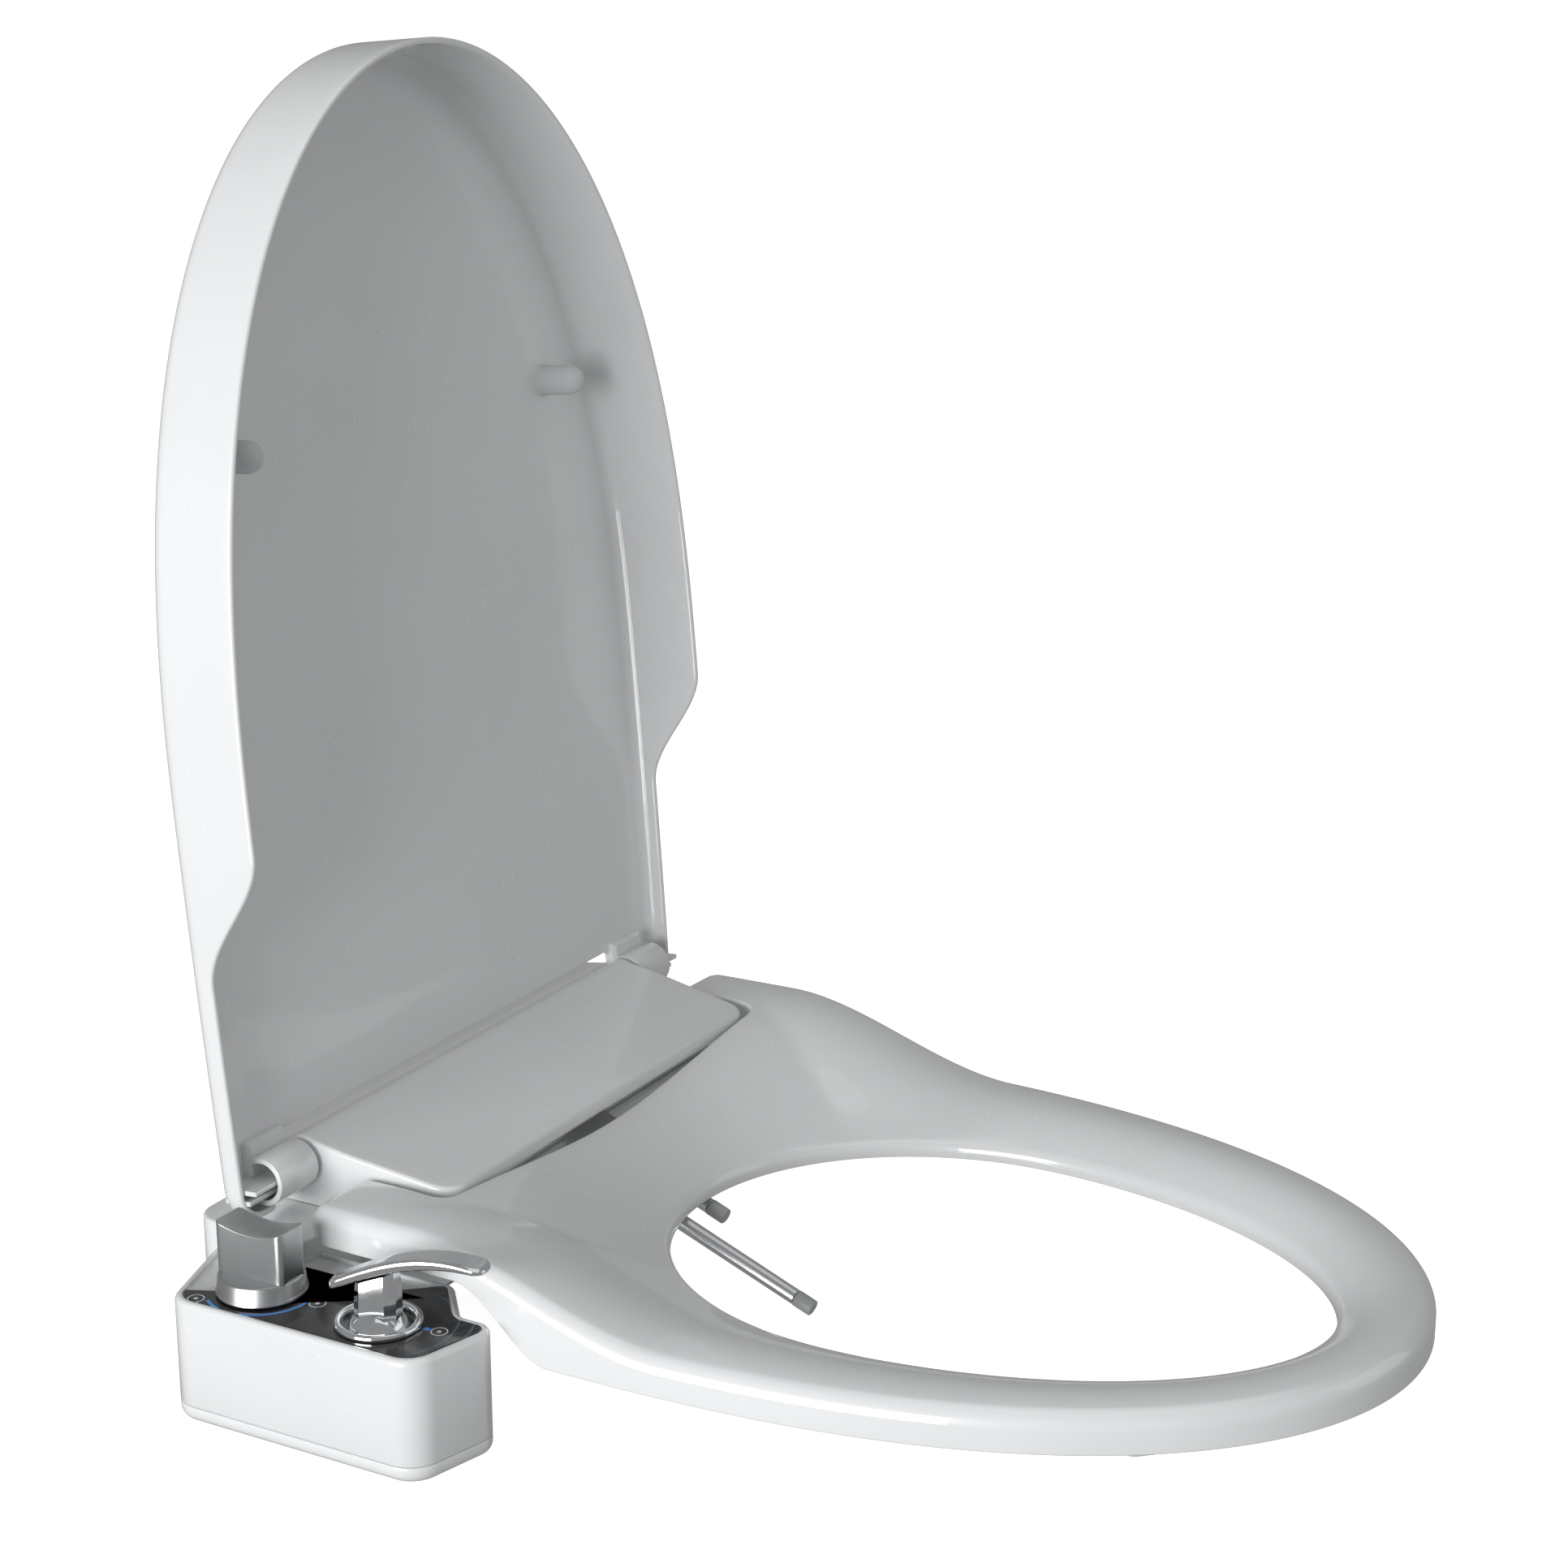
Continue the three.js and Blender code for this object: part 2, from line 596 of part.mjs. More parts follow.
// ---------- control box ----------
const boxPlan = anticlockwise(rounded([
  [BOX.outer, BOX.rearOuter, 14],
  [BOX.outer, BOX.frontOuter, 16],
  [BOX.inner, BOX.frontInner, 9],
  [BOX.inner, BOX.innerFrom, 8],
  [BOX.under, BOX.innerFrom + 20, 8],
  [BOX.under, BOX.rearInner, 9],
]));
const armSpace = (gap) =>
  box(HOUSING.left - gap, 0, armFront - gap, 200, BOX.seam - 50, housingTop + 5);
const knobHole = (r) => cylinderZ(r, KNOB.x, KNOB.y, -100, 200, 24);
const leverHole = (r) => cylinderZ(r, LEVER.x, LEVER.y, -100, 200, 32);
const panelFloor = BOX.top - PANEL.thickness - GAP;

function controlBoxShell() {
  const low = BOX.seam + GAP;
  const outlines = [boxPlan, boxPlan, inset(boxPlan, 0.6), inset(boxPlan, 2)];
  const outer = stack(outlines, [low, BOX.top - 2, BOX.top - 0.6, BOX.top]);
  return outer
    .subtract(prismZ(inset(boxPlan, BOX.wall), low - 5, panelFloor - BOX.wall))
    .subtract(prismZ(inset(boxPlan, PANEL.inset), panelFloor, BOX.top + 5))
    .subtract(armSpace(GAP))
    .subtract(knobHole(SPINDLE_R + PIN_CLEARANCE))
    .subtract(leverHole(LEVER.domeR - 2));
}

function controlBoxPan() {
  const r = BOX.footR;
  const turn = spread(4, 0, Math.PI / 2);
  const outlines = turn.map((a) => inset(boxPlan, r * (1 - Math.sin(a))));
  const heights = turn.map((a) => BOX.bottom + r * (1 - Math.cos(a)));
  return stack([...outlines, boxPlan], [...heights, BOX.seam])
    .subtract(prismZ(inset(boxPlan, BOX.wall + r / 2), BOX.bottom + BOX.wall, BOX.seam + 5))
    .subtract(armSpace(GAP));
}

const panScrews = [[-221, -4], [-219, -118], [-170, -62]];
let pan = controlBoxPan();
panScrews.forEach(([x, y], i) => {
  pan = pan.subtract(screwHole(x, y, BOX.bottom));
  piece(`pan_screw_${i + 1}`, screw(x, y, BOX.bottom), STEEL);
});
piece("control_box_shell", controlBoxShell(), WHITE);
piece("control_box_pan", pan, WHITE);

const glass = prismZ(inset(boxPlan, PANEL.inset + GAP), BOX.top - PANEL.thickness, BOX.top)
  .subtract(armSpace(2))
  .subtract(knobHole(SPINDLE_R + PIN_CLEARANCE))
  .subtract(leverHole(LEVER.domeR + 0.8));
piece("control_panel", glass, GLASS);

const bezel = new THREE.LatheGeometry(
  [[-3.5, 0.3], [0, 0.3], [0, 2.2], [-1, 3.2], [-2.6, 3], [-3.5, 2], [-3.5, 0.3]].map(
    ([r, z]) => new THREE.Vector2(LEVER.bezelR + r, z),
  ),
  40,
);
piece("lever_bezel", solid(bezel.rotateX(Math.PI / 2).translate(LEVER.x, LEVER.y, BOX.top)), CHROME);

// Knob: a disc with a block grip that is scooped on top.
const gripTop = BOX.top + KNOB.top;
const disc = cylinderZ(KNOB.r, KNOB.x, KNOB.y, BOX.top + 1, BOX.top + 1 + KNOB.discH, 40, KNOB.r - 1.5);
const gripPlan = rounded([
  [-KNOB.gripW / 2, -KNOB.gripL / 2, KNOB.gripCorner],
  [KNOB.gripW / 2, -KNOB.gripL / 2, KNOB.gripCorner],
  [KNOB.gripW / 2, KNOB.gripL / 2, KNOB.gripCorner],
  [-KNOB.gripW / 2, KNOB.gripL / 2, KNOB.gripCorner],
], 3);
const scoopZ = KNOB.top + KNOB.scoopR - KNOB.scoopDip;
const scoop = cylinderX(KNOB.scoopR, -KNOB.gripL, KNOB.gripL, 0, scoopZ, 64);
const grip = prismZ(gripPlan, KNOB.discH, KNOB.top)
  .subtract(scoop)
  .translate([KNOB.x, KNOB.y, BOX.top]);
const socket = cylinderZ(SPINDLE_R + GAP, KNOB.x, KNOB.y, BOX.top - 5, BOX.top + KNOB.discH, 20);
piece("temperature_knob", disc.add(grip).subtract(socket), SATIN);
const knobFoot = panelFloor - BOX.wall - 8;
piece(
  "knob_spindle",
  cylinderZ(SPINDLE_R, KNOB.x, KNOB.y, knobFoot, BOX.top + KNOB.discH - GAP, 20),
  BRASS,
);

// Lever: a dome in the bezel, a stem, and a blade that arches towards its finger end.
const domeZ = BOX.top - 6;
const ball = solid(new THREE.SphereGeometry(LEVER.domeR, 24, 12).rotateX(Math.PI / 2));
const dome = ball
  .translate([LEVER.x, LEVER.y, domeZ])
  .subtract(box(LEVER.x - 30, LEVER.x + 30, LEVER.y - 30, LEVER.y + 30, -100, BOX.top - 1));
const stemHole = cylinderZ(SPINDLE_R + GAP, LEVER.x, LEVER.y, -100, BOX.top + 6, 20);
piece("lever_dome", dome.subtract(stemHole), CHROME);
const domeTop = domeZ + LEVER.domeR;

// The blade's underside as (y, z) over its length t, from the heel, which dips, to the finger end.
function bladeUnder(t) {
  const lift = LEVER.rise + LEVER.heelDrop;
  const heel = BOX.top + LEVER.height - LEVER.heelDrop;
  const z = heel + (lift * Math.sin(t * LEVER.arch)) / Math.sin(LEVER.arch);
  return [LEVER.back - (LEVER.back + LEVER.reach) * t, z];
}
const underside = spread(9, 0, 1).map(bladeUnder);

function bladeProfile() {
  const bulge = LEVER.thickness - (LEVER.heelT + LEVER.fingerT) / 2;
  const over = spread(9, 1, 0).map((t) => {
    const [y, z] = bladeUnder(t);
    return [y, z + LEVER.heelT + (LEVER.fingerT - LEVER.heelT) * t + bulge * Math.sin(Math.PI * t)];
  });
  return [...underside, ...over];
}

// The stem runs from the dome up to the blade's underside.
const stemShape = rounded([
  [-LEVER.stemD / 2, -LEVER.stemW / 2, 4],
  [LEVER.stemD / 2, -LEVER.stemW / 2, 4],
  [LEVER.stemD / 2, LEVER.stemW / 2, 4],
  [-LEVER.stemD / 2, LEVER.stemW / 2, 4],
], 1);
const placed = (body) => body.rotate([0, 0, THREE.MathUtils.radToDeg(LEVER.turn)])
  .translate([LEVER.x, LEVER.y, 0]);
const skyZ = BOX.top + LEVER.height + 2 * LEVER.rise;
const overStem = prismX(
  [...underside.map(([y, z]) => [y, z - GAP]), [-LEVER.reach, skyZ + 5], [LEVER.back, skyZ + 5]],
  -LEVER.stemD,
  LEVER.stemD,
);
const stem = placed(prismZ(stemShape, domeTop - 6, skyZ).subtract(overStem))
  .subtract(ball.scale(1.02).translate([LEVER.x, LEVER.y, domeZ]))
  .subtract(cylinderZ(SPINDLE_R + GAP, LEVER.x, LEVER.y, -100, domeTop + 4, 20));
piece("lever_stem", stem, CHROME);

const bladePlan = rounded([
  [-LEVER.width / 2 + 3, LEVER.back, 3],
  [LEVER.width / 2 - 3, LEVER.back, 3],
  [LEVER.width / 2, -LEVER.reach, 6],
  [-LEVER.width / 2, -LEVER.reach, 6],
]);
const blade = prismX(bladeProfile(), -LEVER.width, LEVER.width)
  .intersect(prismZ(bladePlan, 0, 200));
piece("lever_blade", placed(blade), CHROME);
const leverFoot = panelFloor - BOX.wall - 10;
piece(
  "lever_spindle",
  cylinderZ(SPINDLE_R, LEVER.x, LEVER.y, leverFoot, BOX.top + 4, 20),
  BRASS,
);

// Valves under the panel: each body carries its spindle in a blind socket.
const VALVE = { r: 14.5, low: BOX.bottom + BOX.wall + 6, high: knobFoot + 5 };
const valves = [["mixing_valve", KNOB], ["flow_valve", LEVER]];
for (const [name, at] of valves) {
  const body = cylinderZ(VALVE.r, at.x, at.y, VALVE.low, VALVE.high, 28);
  piece(name, body.subtract(cylinderZ(SPINDLE_R + GAP, at.x, at.y, leverFoot - 1, 200, 20)), BRASS);
}
const link = tube([
  [KNOB.x, KNOB.y - VALVE.r - 1.5, VALVE.low + 12],
  [LEVER.x, LEVER.y + VALVE.r + 1.5, VALVE.low + 12],
], 5, 12, 1);
piece("valve_link_pipe", link, BRASS);

// ---------- water ways ----------
INLET.x.forEach((x, i) => {
  const rear = HOUSING.rear + INLET.out;
  const stub = cylinderY(INLET.r, x, HOUSING.rear - 12, rear, INLET.z, 24);
  const flange = cylinderY(INLET.flange, x, HOUSING.rear + GAP, HOUSING.rear + 3, INLET.z, 6);
  const bore = cylinderY(INLET.r - 3, x, HOUSING.rear - 20, rear + 5, INLET.z, 20);
  piece(`water_inlet_${["cold", "warm"][i]}`, stub.add(flange).subtract(bore), STEEL);
});
const HOSE = { r: 3.5, sides: 6, steps: 16, rear: 12, pitch: 8.5, inletZ: 17.5, nozzleZ: 13 };
const hose = (route) => tube(route, HOSE.r, HOSE.sides, HOSE.steps);
const inletEnd = HOUSING.rear - 12 - GAP;
const valveSide = (at) => at.x + VALVE.r + 1.6;
// Each hose keeps a lane of its own through the passage, from the rear forwards.
const lane = (i) => HOSE.rear - HOSE.pitch * i;
const intoBox = [
  [[-190, 9, 12], [-201, 5, 7], [KNOB.x, -3, 3], [KNOB.x, KNOB.y + VALVE.r + 1, 2]],
  [[-181, -8, 16], [-182.5, -18, 15], [-184.5, -26, 13.5], [valveSide(KNOB), KNOB.y - 1, 12]],
  [[-182, -20, 4], [-183, -40, -4], [-185, -74, -6], [-187, -92, -6], [valveSide(LEVER), LEVER.y - 3, -6]],
  [[-177, -30, 7], [-172, -50, 3], [-172, -72, 4], [-181, -85, 7], [valveSide(LEVER), LEVER.y + 3, 6]],
];
["warm", "cold"].forEach((word, i) => {
  const x = INLET.x[1 - i];
  const y = lane(i);
  const start = [[x, inletEnd, INLET.z], [x - 2, inletEnd - 6, INLET.z], [x - 12, y + 2, HOSE.inletZ]];
  const through = [[x - 22, y, HOSE.inletZ], [-150, y, HOSE.inletZ], [HOUSING.left, y, HOSE.inletZ]];
  piece(`inlet_hose_${word}`, hose([...start, ...through, ...intoBox[i]]), TUBING);
});

// Two hoses run from the flow valve to the sides of the nozzle guide.
const guideSide = NOZZLE.x + NOZZLE.r + GUIDE.wall + 0.8;
const guideY = GUIDE.front + GUIDE.length * 0.8;
const fromGuide = {
  rear: [[-guideSide, guideY, 33], [-guideSide - 6, guideY, 33], [-44, guideY + 8, 30]],
  front: [
    [guideSide, guideY, 33],
    [guideSide + 5, guideY, 32],
    [guideSide + 5, -32, 24],
    [0, -24, 20],
    [-44, lane(2) - 8, 20],
  ],
};
["front", "rear"].forEach((word, i) => {
  const y = lane(i + 2);
  const through = [[-100, y, 20], [-150, y, HOSE.nozzleZ], [HOUSING.left, y, HOSE.nozzleZ]];
  piece(`nozzle_hose_${word}`, hose([...fromGuide[word], ...through, ...intoBox[i + 2]]), TUBING);
});

// ---------- seat ----------
// The seat's outline is the lid's, one clearance smaller, with a straight rear edge.
function seatOutline() {
  const cornerStart = SEAT.rearY - SEAT.cornerR - 6;
  const right = inset(lidOutline(), SEAT.clearance)
    .map(([x, s]) => [x, -s])
    .filter(([x, y]) => x > 0.01 && y < cornerStart)
    .sort((a, b) => a[1] - b[1]);
  const rearX = LID.halfWidthRear - SEAT.clearance + 1.5;
  const c = [rearX - SEAT.cornerR, SEAT.rearY - SEAT.cornerR];
  const corner = spread(5, 0, Math.PI / 2).map((a) => [
    c[0] + SEAT.cornerR * Math.cos(a),
    c[1] + SEAT.cornerR * Math.sin(a),
  ]);
  const rear = [150, 110, 60].map((x) => [x, SEAT.rearY]);
  const half = [...right, ...corner, ...rear];
  const left = [...half].reverse().map(([x, y]) => [-x, y]);
  return [[0, SEAT.clearance - LID.length], ...half, [0, SEAT.rearY], ...left];
}

// The opening is egg-shaped: a blunt superellipse in front, an ellipse behind.
function holeOutline(count = 120) {
  return Array.from({ length: count }, (_, i) => {
    const a = (2 * Math.PI * i) / count;
    const front = Math.cos(a) > 0;
    const reach = front ? HOLE.widest - HOLE.front : HOLE.rear - HOLE.widest;
    const along = Math.sign(Math.cos(a)) * Math.abs(Math.cos(a)) ** (front ? 1.05 : 1);
    return [HOLE.halfWidth * Math.sin(a), HOLE.widest - reach * along];
  });
}

// Where a ray from a point inside a closed outline leaves it.
function hit(outline, [cx, cy], angle) {
  const [dx, dy] = [Math.cos(angle), Math.sin(angle)];
  for (let i = 0; i < outline.length; i++) {
    const [ax, ay] = outline[i];
    const [bx, by] = outline[(i + 1) % outline.length];
    const [ex, ey] = [bx - ax, by - ay];
    const det = ex * dy - ey * dx;
    const t = (ex * (ay - cy) - ey * (ax - cx)) / det;
    const u = (dx * (ay - cy) - dy * (ax - cx)) / det;
    if (t > 0 && u >= -1e-9 && u <= 1 + 1e-9) return [cx + t * dx, cy + t * dy];
  }
  throw new Error("the point is not inside the outline");
}

const seatCentre = [0, -290];
const outerEdge = seatOutline();
const holeEdge = holeOutline();
const holeAt = outerEdge.map(([x, y]) =>
  hit(holeEdge, seatCentre, Math.atan2(y - seatCentre[1], x - seatCentre[0])));

// The outer edge climbs from the ring to the ears. The top falls from it to the opening.
const sideTop = (y) => SEAT.earTop + (SEAT.ringTop - SEAT.earTop) * smooth((-85 - y) / 130);
const seatTop = (y, r) =>
  SEAT.holeTop +
  (sideTop(y) - SEAT.holeTop) * (1 - (1 - r) ** 2.5) +
  SEAT.crown * Math.sin(Math.PI * r);
// The underside is level, and rises under the ears to clear the controls.
function seatBottom(x, y) {
  const outwards = smooth((Math.abs(x) - 110) / 40);
  return SEAT.earBottom + (SEAT.ringBottom - SEAT.earBottom) * smooth((-83 - 29 * outwards - y) / 48);
}

// A ring-shaped solid under the seat's top, smaller on all sides by t and deeper by deep.
function seatRing(t, deep) {
  const e = SEAT.edgeR - t;
  const outer = (d) => inset(outerEdge, t + d);
  const inner = (d) => holeAt.map(([x, y]) => {
    const [ox, oy] = [x - seatCentre[0], y - seatCentre[1]];
    const k = 1 + (t + d) / Math.hypot(ox, oy);
    return [seatCentre[0] + ox * k, seatCentre[1] + oy * k];
  });
  const topAt = (points, r, drop) => points.map(([x, y]) => [x, y, axisZ(seatTop(y, r) - t - drop)]);
  const between = (r) => {
    const [a, b] = [inner(6 - t), outer(e)];
    return a.map(([x, y], i) => [x + (b[i][0] - x) * r, y + (b[i][1] - y) * r]);
  };
  const under = (points) => points.map(([x, y]) => [x, y, axisZ(seatBottom(x, y) - deep)]);
  return ringSolid([
    under(between(0.5)),
    under(outer(0)),
    topAt(outer(0), 1, e),
    topAt(outer(e * 0.3), 1, e * 0.3),
    topAt(outer(e), 1, 0),
    topAt(between(0.67), 0.67, 0),
    topAt(between(0.33), 0.33, 0),
    topAt(between(0), 0.06, 0),
    topAt(inner(1.2 - t / 3), 0, 1.2),
    topAt(inner(0), 0, 4),
    under(inner(0)),
    under(between(0.15)),
  ]);
}

const cutPlan = (extra) => rounded([
  [-142 - extra, DECK.lipY - SEAT.cutGap - extra, 9 + extra],
  [142 + extra, DECK.lipY - SEAT.cutGap - extra, 9 + extra],
  [142 + extra, 60],
  [-142 - extra, 60],
]);

const seatSolid = seatRing(0, 0).subtract(prismZ(cutPlan(0), -50, 200));
const seatRoom = seatRing(SEAT.wall, 20).subtract(prismZ(cutPlan(SEAT.wall), -50, 200));
let seatShell = seatSolid.subtract(seatRoom);
for (const [side] of SIDES) {
  seatShell = seatShell.subtract(pinHole(side * 138, side * 150, SEAT_AXIS.y, SEAT_AXIS.z));
}
piece("seat_shell", seatShell, WHITE);

// The underside plate closes the shell from below, a little up inside it.
function seatPlate() {
  const inside = SEAT.wall + GAP;
  const outline = [inset(outerEdge, inside), holeAt.map(([x, y]) => {
    const k = 1 + inside / Math.hypot(x - seatCentre[0], y - seatCentre[1]);
    return [seatCentre[0] + (x - seatCentre[0]) * k, seatCentre[1] + (y - seatCentre[1]) * k];
  })];
  const mid = (r) => outline[1].map(([x, y], i) => [
    x + (outline[0][i][0] - x) * r,
    y + (outline[0][i][1] - y) * r,
  ]);
  const at = (points, up) => points.map(([x, y]) => [x, y, axisZ(seatBottom(x, y) + up)]);
  const [low, high] = [SEAT_PLATE.sunk, SEAT_PLATE.sunk + SEAT_PLATE.thickness];
  const rows = [0, 0.15, 0.5, 1];
  const under = rows.map((r) => at(mid(r), low));
  const over = [...rows].reverse().map((r) => at(mid(r), high));
  return ringSolid([...under, ...over]).subtract(prismZ(cutPlan(inside), -50, 200));
}
piece("seat_base_plate", seatPlate(), WHITE);

// Bumpers under the ring stand it on the bowl.
const bumperTop = axisZ(SEAT.ringBottom) + SEAT_PLATE.sunk - GAP;
const bumperSpots = [[147, -215, 6], [103, -408, 42]];
bumperSpots.forEach(([x, y, turn], row) => {
  for (const [side, word] of SIDES) {
    const [w, l] = [SEAT_BUMPER.width / 2, SEAT_BUMPER.length / 2];
    const plan = rounded([[-w, -l, 5], [w, -l, 5], [w, l, 5], [-w, l, 5]], 3);
    const body = prismZ(plan, 0, bumperTop).rotate([0, 0, -side * turn]).translate([side * x, y, 0]);
    piece(`seat_bumper_${["rear", "front"][row]}_${word}`, body, RUBBER);
  }
});

export default root;
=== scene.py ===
"""A bidet seat with side controls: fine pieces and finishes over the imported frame.

Sizes are in millimetres and become metres when a mesh is made. +Z is up, the seat points along
-Y, and the control box is on the -X side.
"""

import json
import logging
import math
from collections.abc import Callable, Sequence
from dataclasses import dataclass
from enum import Enum

import bmesh
import bpy
import numpy as np
from mathutils import Matrix, Vector
from mathutils.geometry import delaunay_2d_cdt


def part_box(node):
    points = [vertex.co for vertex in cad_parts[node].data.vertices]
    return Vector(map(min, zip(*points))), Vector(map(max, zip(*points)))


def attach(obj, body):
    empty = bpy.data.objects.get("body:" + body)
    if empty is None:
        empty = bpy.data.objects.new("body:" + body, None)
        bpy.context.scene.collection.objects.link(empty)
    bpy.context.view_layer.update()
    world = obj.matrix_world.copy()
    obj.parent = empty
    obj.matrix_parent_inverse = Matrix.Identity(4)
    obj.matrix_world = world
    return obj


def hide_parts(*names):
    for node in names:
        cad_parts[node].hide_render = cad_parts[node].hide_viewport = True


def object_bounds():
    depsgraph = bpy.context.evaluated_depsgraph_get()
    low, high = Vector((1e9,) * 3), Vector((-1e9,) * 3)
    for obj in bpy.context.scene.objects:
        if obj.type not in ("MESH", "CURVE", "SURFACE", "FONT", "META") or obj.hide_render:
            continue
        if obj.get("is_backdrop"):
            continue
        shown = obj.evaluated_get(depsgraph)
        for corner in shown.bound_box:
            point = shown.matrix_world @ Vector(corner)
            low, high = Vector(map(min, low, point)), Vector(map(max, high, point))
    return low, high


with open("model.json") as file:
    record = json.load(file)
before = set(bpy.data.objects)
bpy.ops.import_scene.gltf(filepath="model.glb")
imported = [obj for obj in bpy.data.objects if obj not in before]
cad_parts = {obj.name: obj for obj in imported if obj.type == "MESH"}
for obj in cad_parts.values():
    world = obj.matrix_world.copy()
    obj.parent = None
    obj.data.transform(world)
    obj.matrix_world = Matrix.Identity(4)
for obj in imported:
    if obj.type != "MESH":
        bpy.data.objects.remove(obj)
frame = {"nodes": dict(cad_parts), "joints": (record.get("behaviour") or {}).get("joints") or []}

log = logging.getLogger("bidet_seat")
MM = 0.001
WELD = 2e-6  # metres between points that become one
SHORTEST_EDGE = 1e-7  # metres
Height = Callable[[np.ndarray, np.ndarray], np.ndarray]


class Body(Enum):
    """The frame's moving bodies."""

    BASE = "base"
    LID = "lid"
    SEAT = "seat"
    KNOB = "knob"
    LEVER = "lever"
    REAR_NOZZLE = "rear_nozzle"
    FRONT_NOZZLE = "front_nozzle"
    BUTTON = "button"


class Slot(Enum):
    """The record's material slots."""

    WHITE = "white_gloss"
    GREY = "grey_plastic"
    SATIN = "satin_grey"
    GLASS = "black_glass"
    CHROME = "chrome"
    STEEL = "steel"
    BRASS = "brass"
    RUBBER = "pale_rubber"
    TUBING = "tubing"


# ---------- numbers and outlines ----------
def smooth(t: np.ndarray) -> np.ndarray:
    """A smooth step: 0 below 0, 1 above 1."""
    u = np.clip(t, 0.0, 1.0)
    return u * u * (3.0 - 2.0 * u)


def box_mm(node: str) -> tuple[np.ndarray, np.ndarray]:
    """The lowest and highest corners of a CAD node, in millimetres."""
    low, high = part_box(node)
    return np.array(low) / MM, np.array(high) / MM


def centre_mm(node: str) -> np.ndarray:
    """The middle of a CAD node's box, in millimetres."""
    low, high = box_mm(node)
    return (low + high) / 2.0


def arcs(corners: Sequence[tuple[float, ...]], steps: int = 10) -> np.ndarray:
    """A closed outline whose corners are rounded.

    Args:
        corners: (x, y) or (x, y, radius), in order round the outline.
        steps: segments in each rounded corner.

    Returns:
        The outline's points, an (n, 2) array.
    """
    points = np.array([c[:2] for c in corners], float)
    radii = [c[2] if len(c) > 2 else 0.0 for c in corners]
    out = []
    for here, before, after, r in zip(points, np.roll(points, 1, 0), np.roll(points, -1, 0), radii):
        if not r:
            out.append(here[None])
            continue
        a, b = (before - here, after - here)
        a, b = a / np.linalg.norm(a), b / np.linalg.norm(b)
        half = math.acos(np.clip(a @ b, -1, 1)) / 2
        middle = here + (a + b) / np.linalg.norm(a + b) * r / math.sin(half)
        start = here + a * r / math.tan(half) - middle
        end = here + b * r / math.tan(half) - middle
        first = math.atan2(start[1], start[0])
        sweep = (math.atan2(end[1], end[0]) - first + math.pi) % (2 * math.pi) - math.pi
        t = first + sweep * np.linspace(0, 1, steps + 1)
        out.append(middle + r * np.stack([np.cos(t), np.sin(t)], 1))
    return np.vstack(out)


def area(loop: np.ndarray) -> float:
    """Signed area: positive when the loop runs anticlockwise."""
    x, y = loop.T
    return float((x * np.roll(y, -1) - y * np.roll(x, -1)).sum() / 2)


def anticlockwise(loop: np.ndarray) -> np.ndarray:
    """The loop, run anticlockwise."""
    return loop if area(loop) > 0 else loop[::-1]


def resample(loop: np.ndarray, spacing: float) -> np.ndarray:
    """Evenly spaced points along a closed loop, about `spacing` apart."""
    closed = np.vstack([loop, loop[:1]])
    length = np.concatenate([[0.0], np.cumsum(np.linalg.norm(np.diff(closed, axis=0), axis=1))])
    at = np.linspace(0, length[-1], max(12, round(length[-1] / spacing)) + 1)[:-1]
    return np.stack([np.interp(at, length, closed[:, k]) for k in (0, 1)], 1)


def inset(loop: np.ndarray, d: float | np.ndarray) -> np.ndarray:
    """Moves each point of a loop to the loop's left by d, mitred at the corners."""
    way = loop - np.roll(loop, 1, 0)
    way = way / np.maximum(np.linalg.norm(way, axis=1, keepdims=True), 1e-9)
    mean = way + np.roll(way, -1, 0)
    mean = mean / np.maximum(np.linalg.norm(mean, axis=1, keepdims=True), 1e-9)
    stretch = d / np.maximum(0.5, (mean * way).sum(1))
    return loop + np.stack([-mean[:, 1], mean[:, 0]], 1) * stretch[:, None]


def inside(points: np.ndarray, loop: np.ndarray) -> np.ndarray:
    """Which points lie inside a closed loop, by counting crossings."""
    x, y = points[:, 0:1], points[:, 1:2]
    (ax, ay), (bx, by) = loop.T, np.roll(loop, -1, 0).T
    spans = (ay > y) != (by > y)
    rise = np.where(by == ay, 1e-12, by - ay)
    return ((spans & (x < ax + (y - ay) * (bx - ax) / rise)).sum(1) % 2) == 1


def circle(radius: float, count: int, x: float = 0.0, y: float = 0.0) -> np.ndarray:
    """A circle as an anticlockwise loop."""
    t = np.linspace(0, 2 * np.pi, count, endpoint=False)
    return np.stack([x + radius * np.cos(t), y + radius * np.sin(t)], 1)


def rectangle(x0: float, y0: float, x1: float, y1: float, r: float, steps: int = 6) -> np.ndarray:
    """A rounded rectangle as an anticlockwise loop."""
    return arcs([(x0, y0, r), (x1, y0, r), (x1, y1, r), (x0, y1, r)], steps)


def turned_rows(profile: Sequence[tuple[float, float]], count: int) -> np.ndarray:
    """Circles of `count` points, one for each (radius, z) of a profile."""
    return np.stack([np.column_stack([circle(r, count), np.full(count, z)]) for r, z in profile])


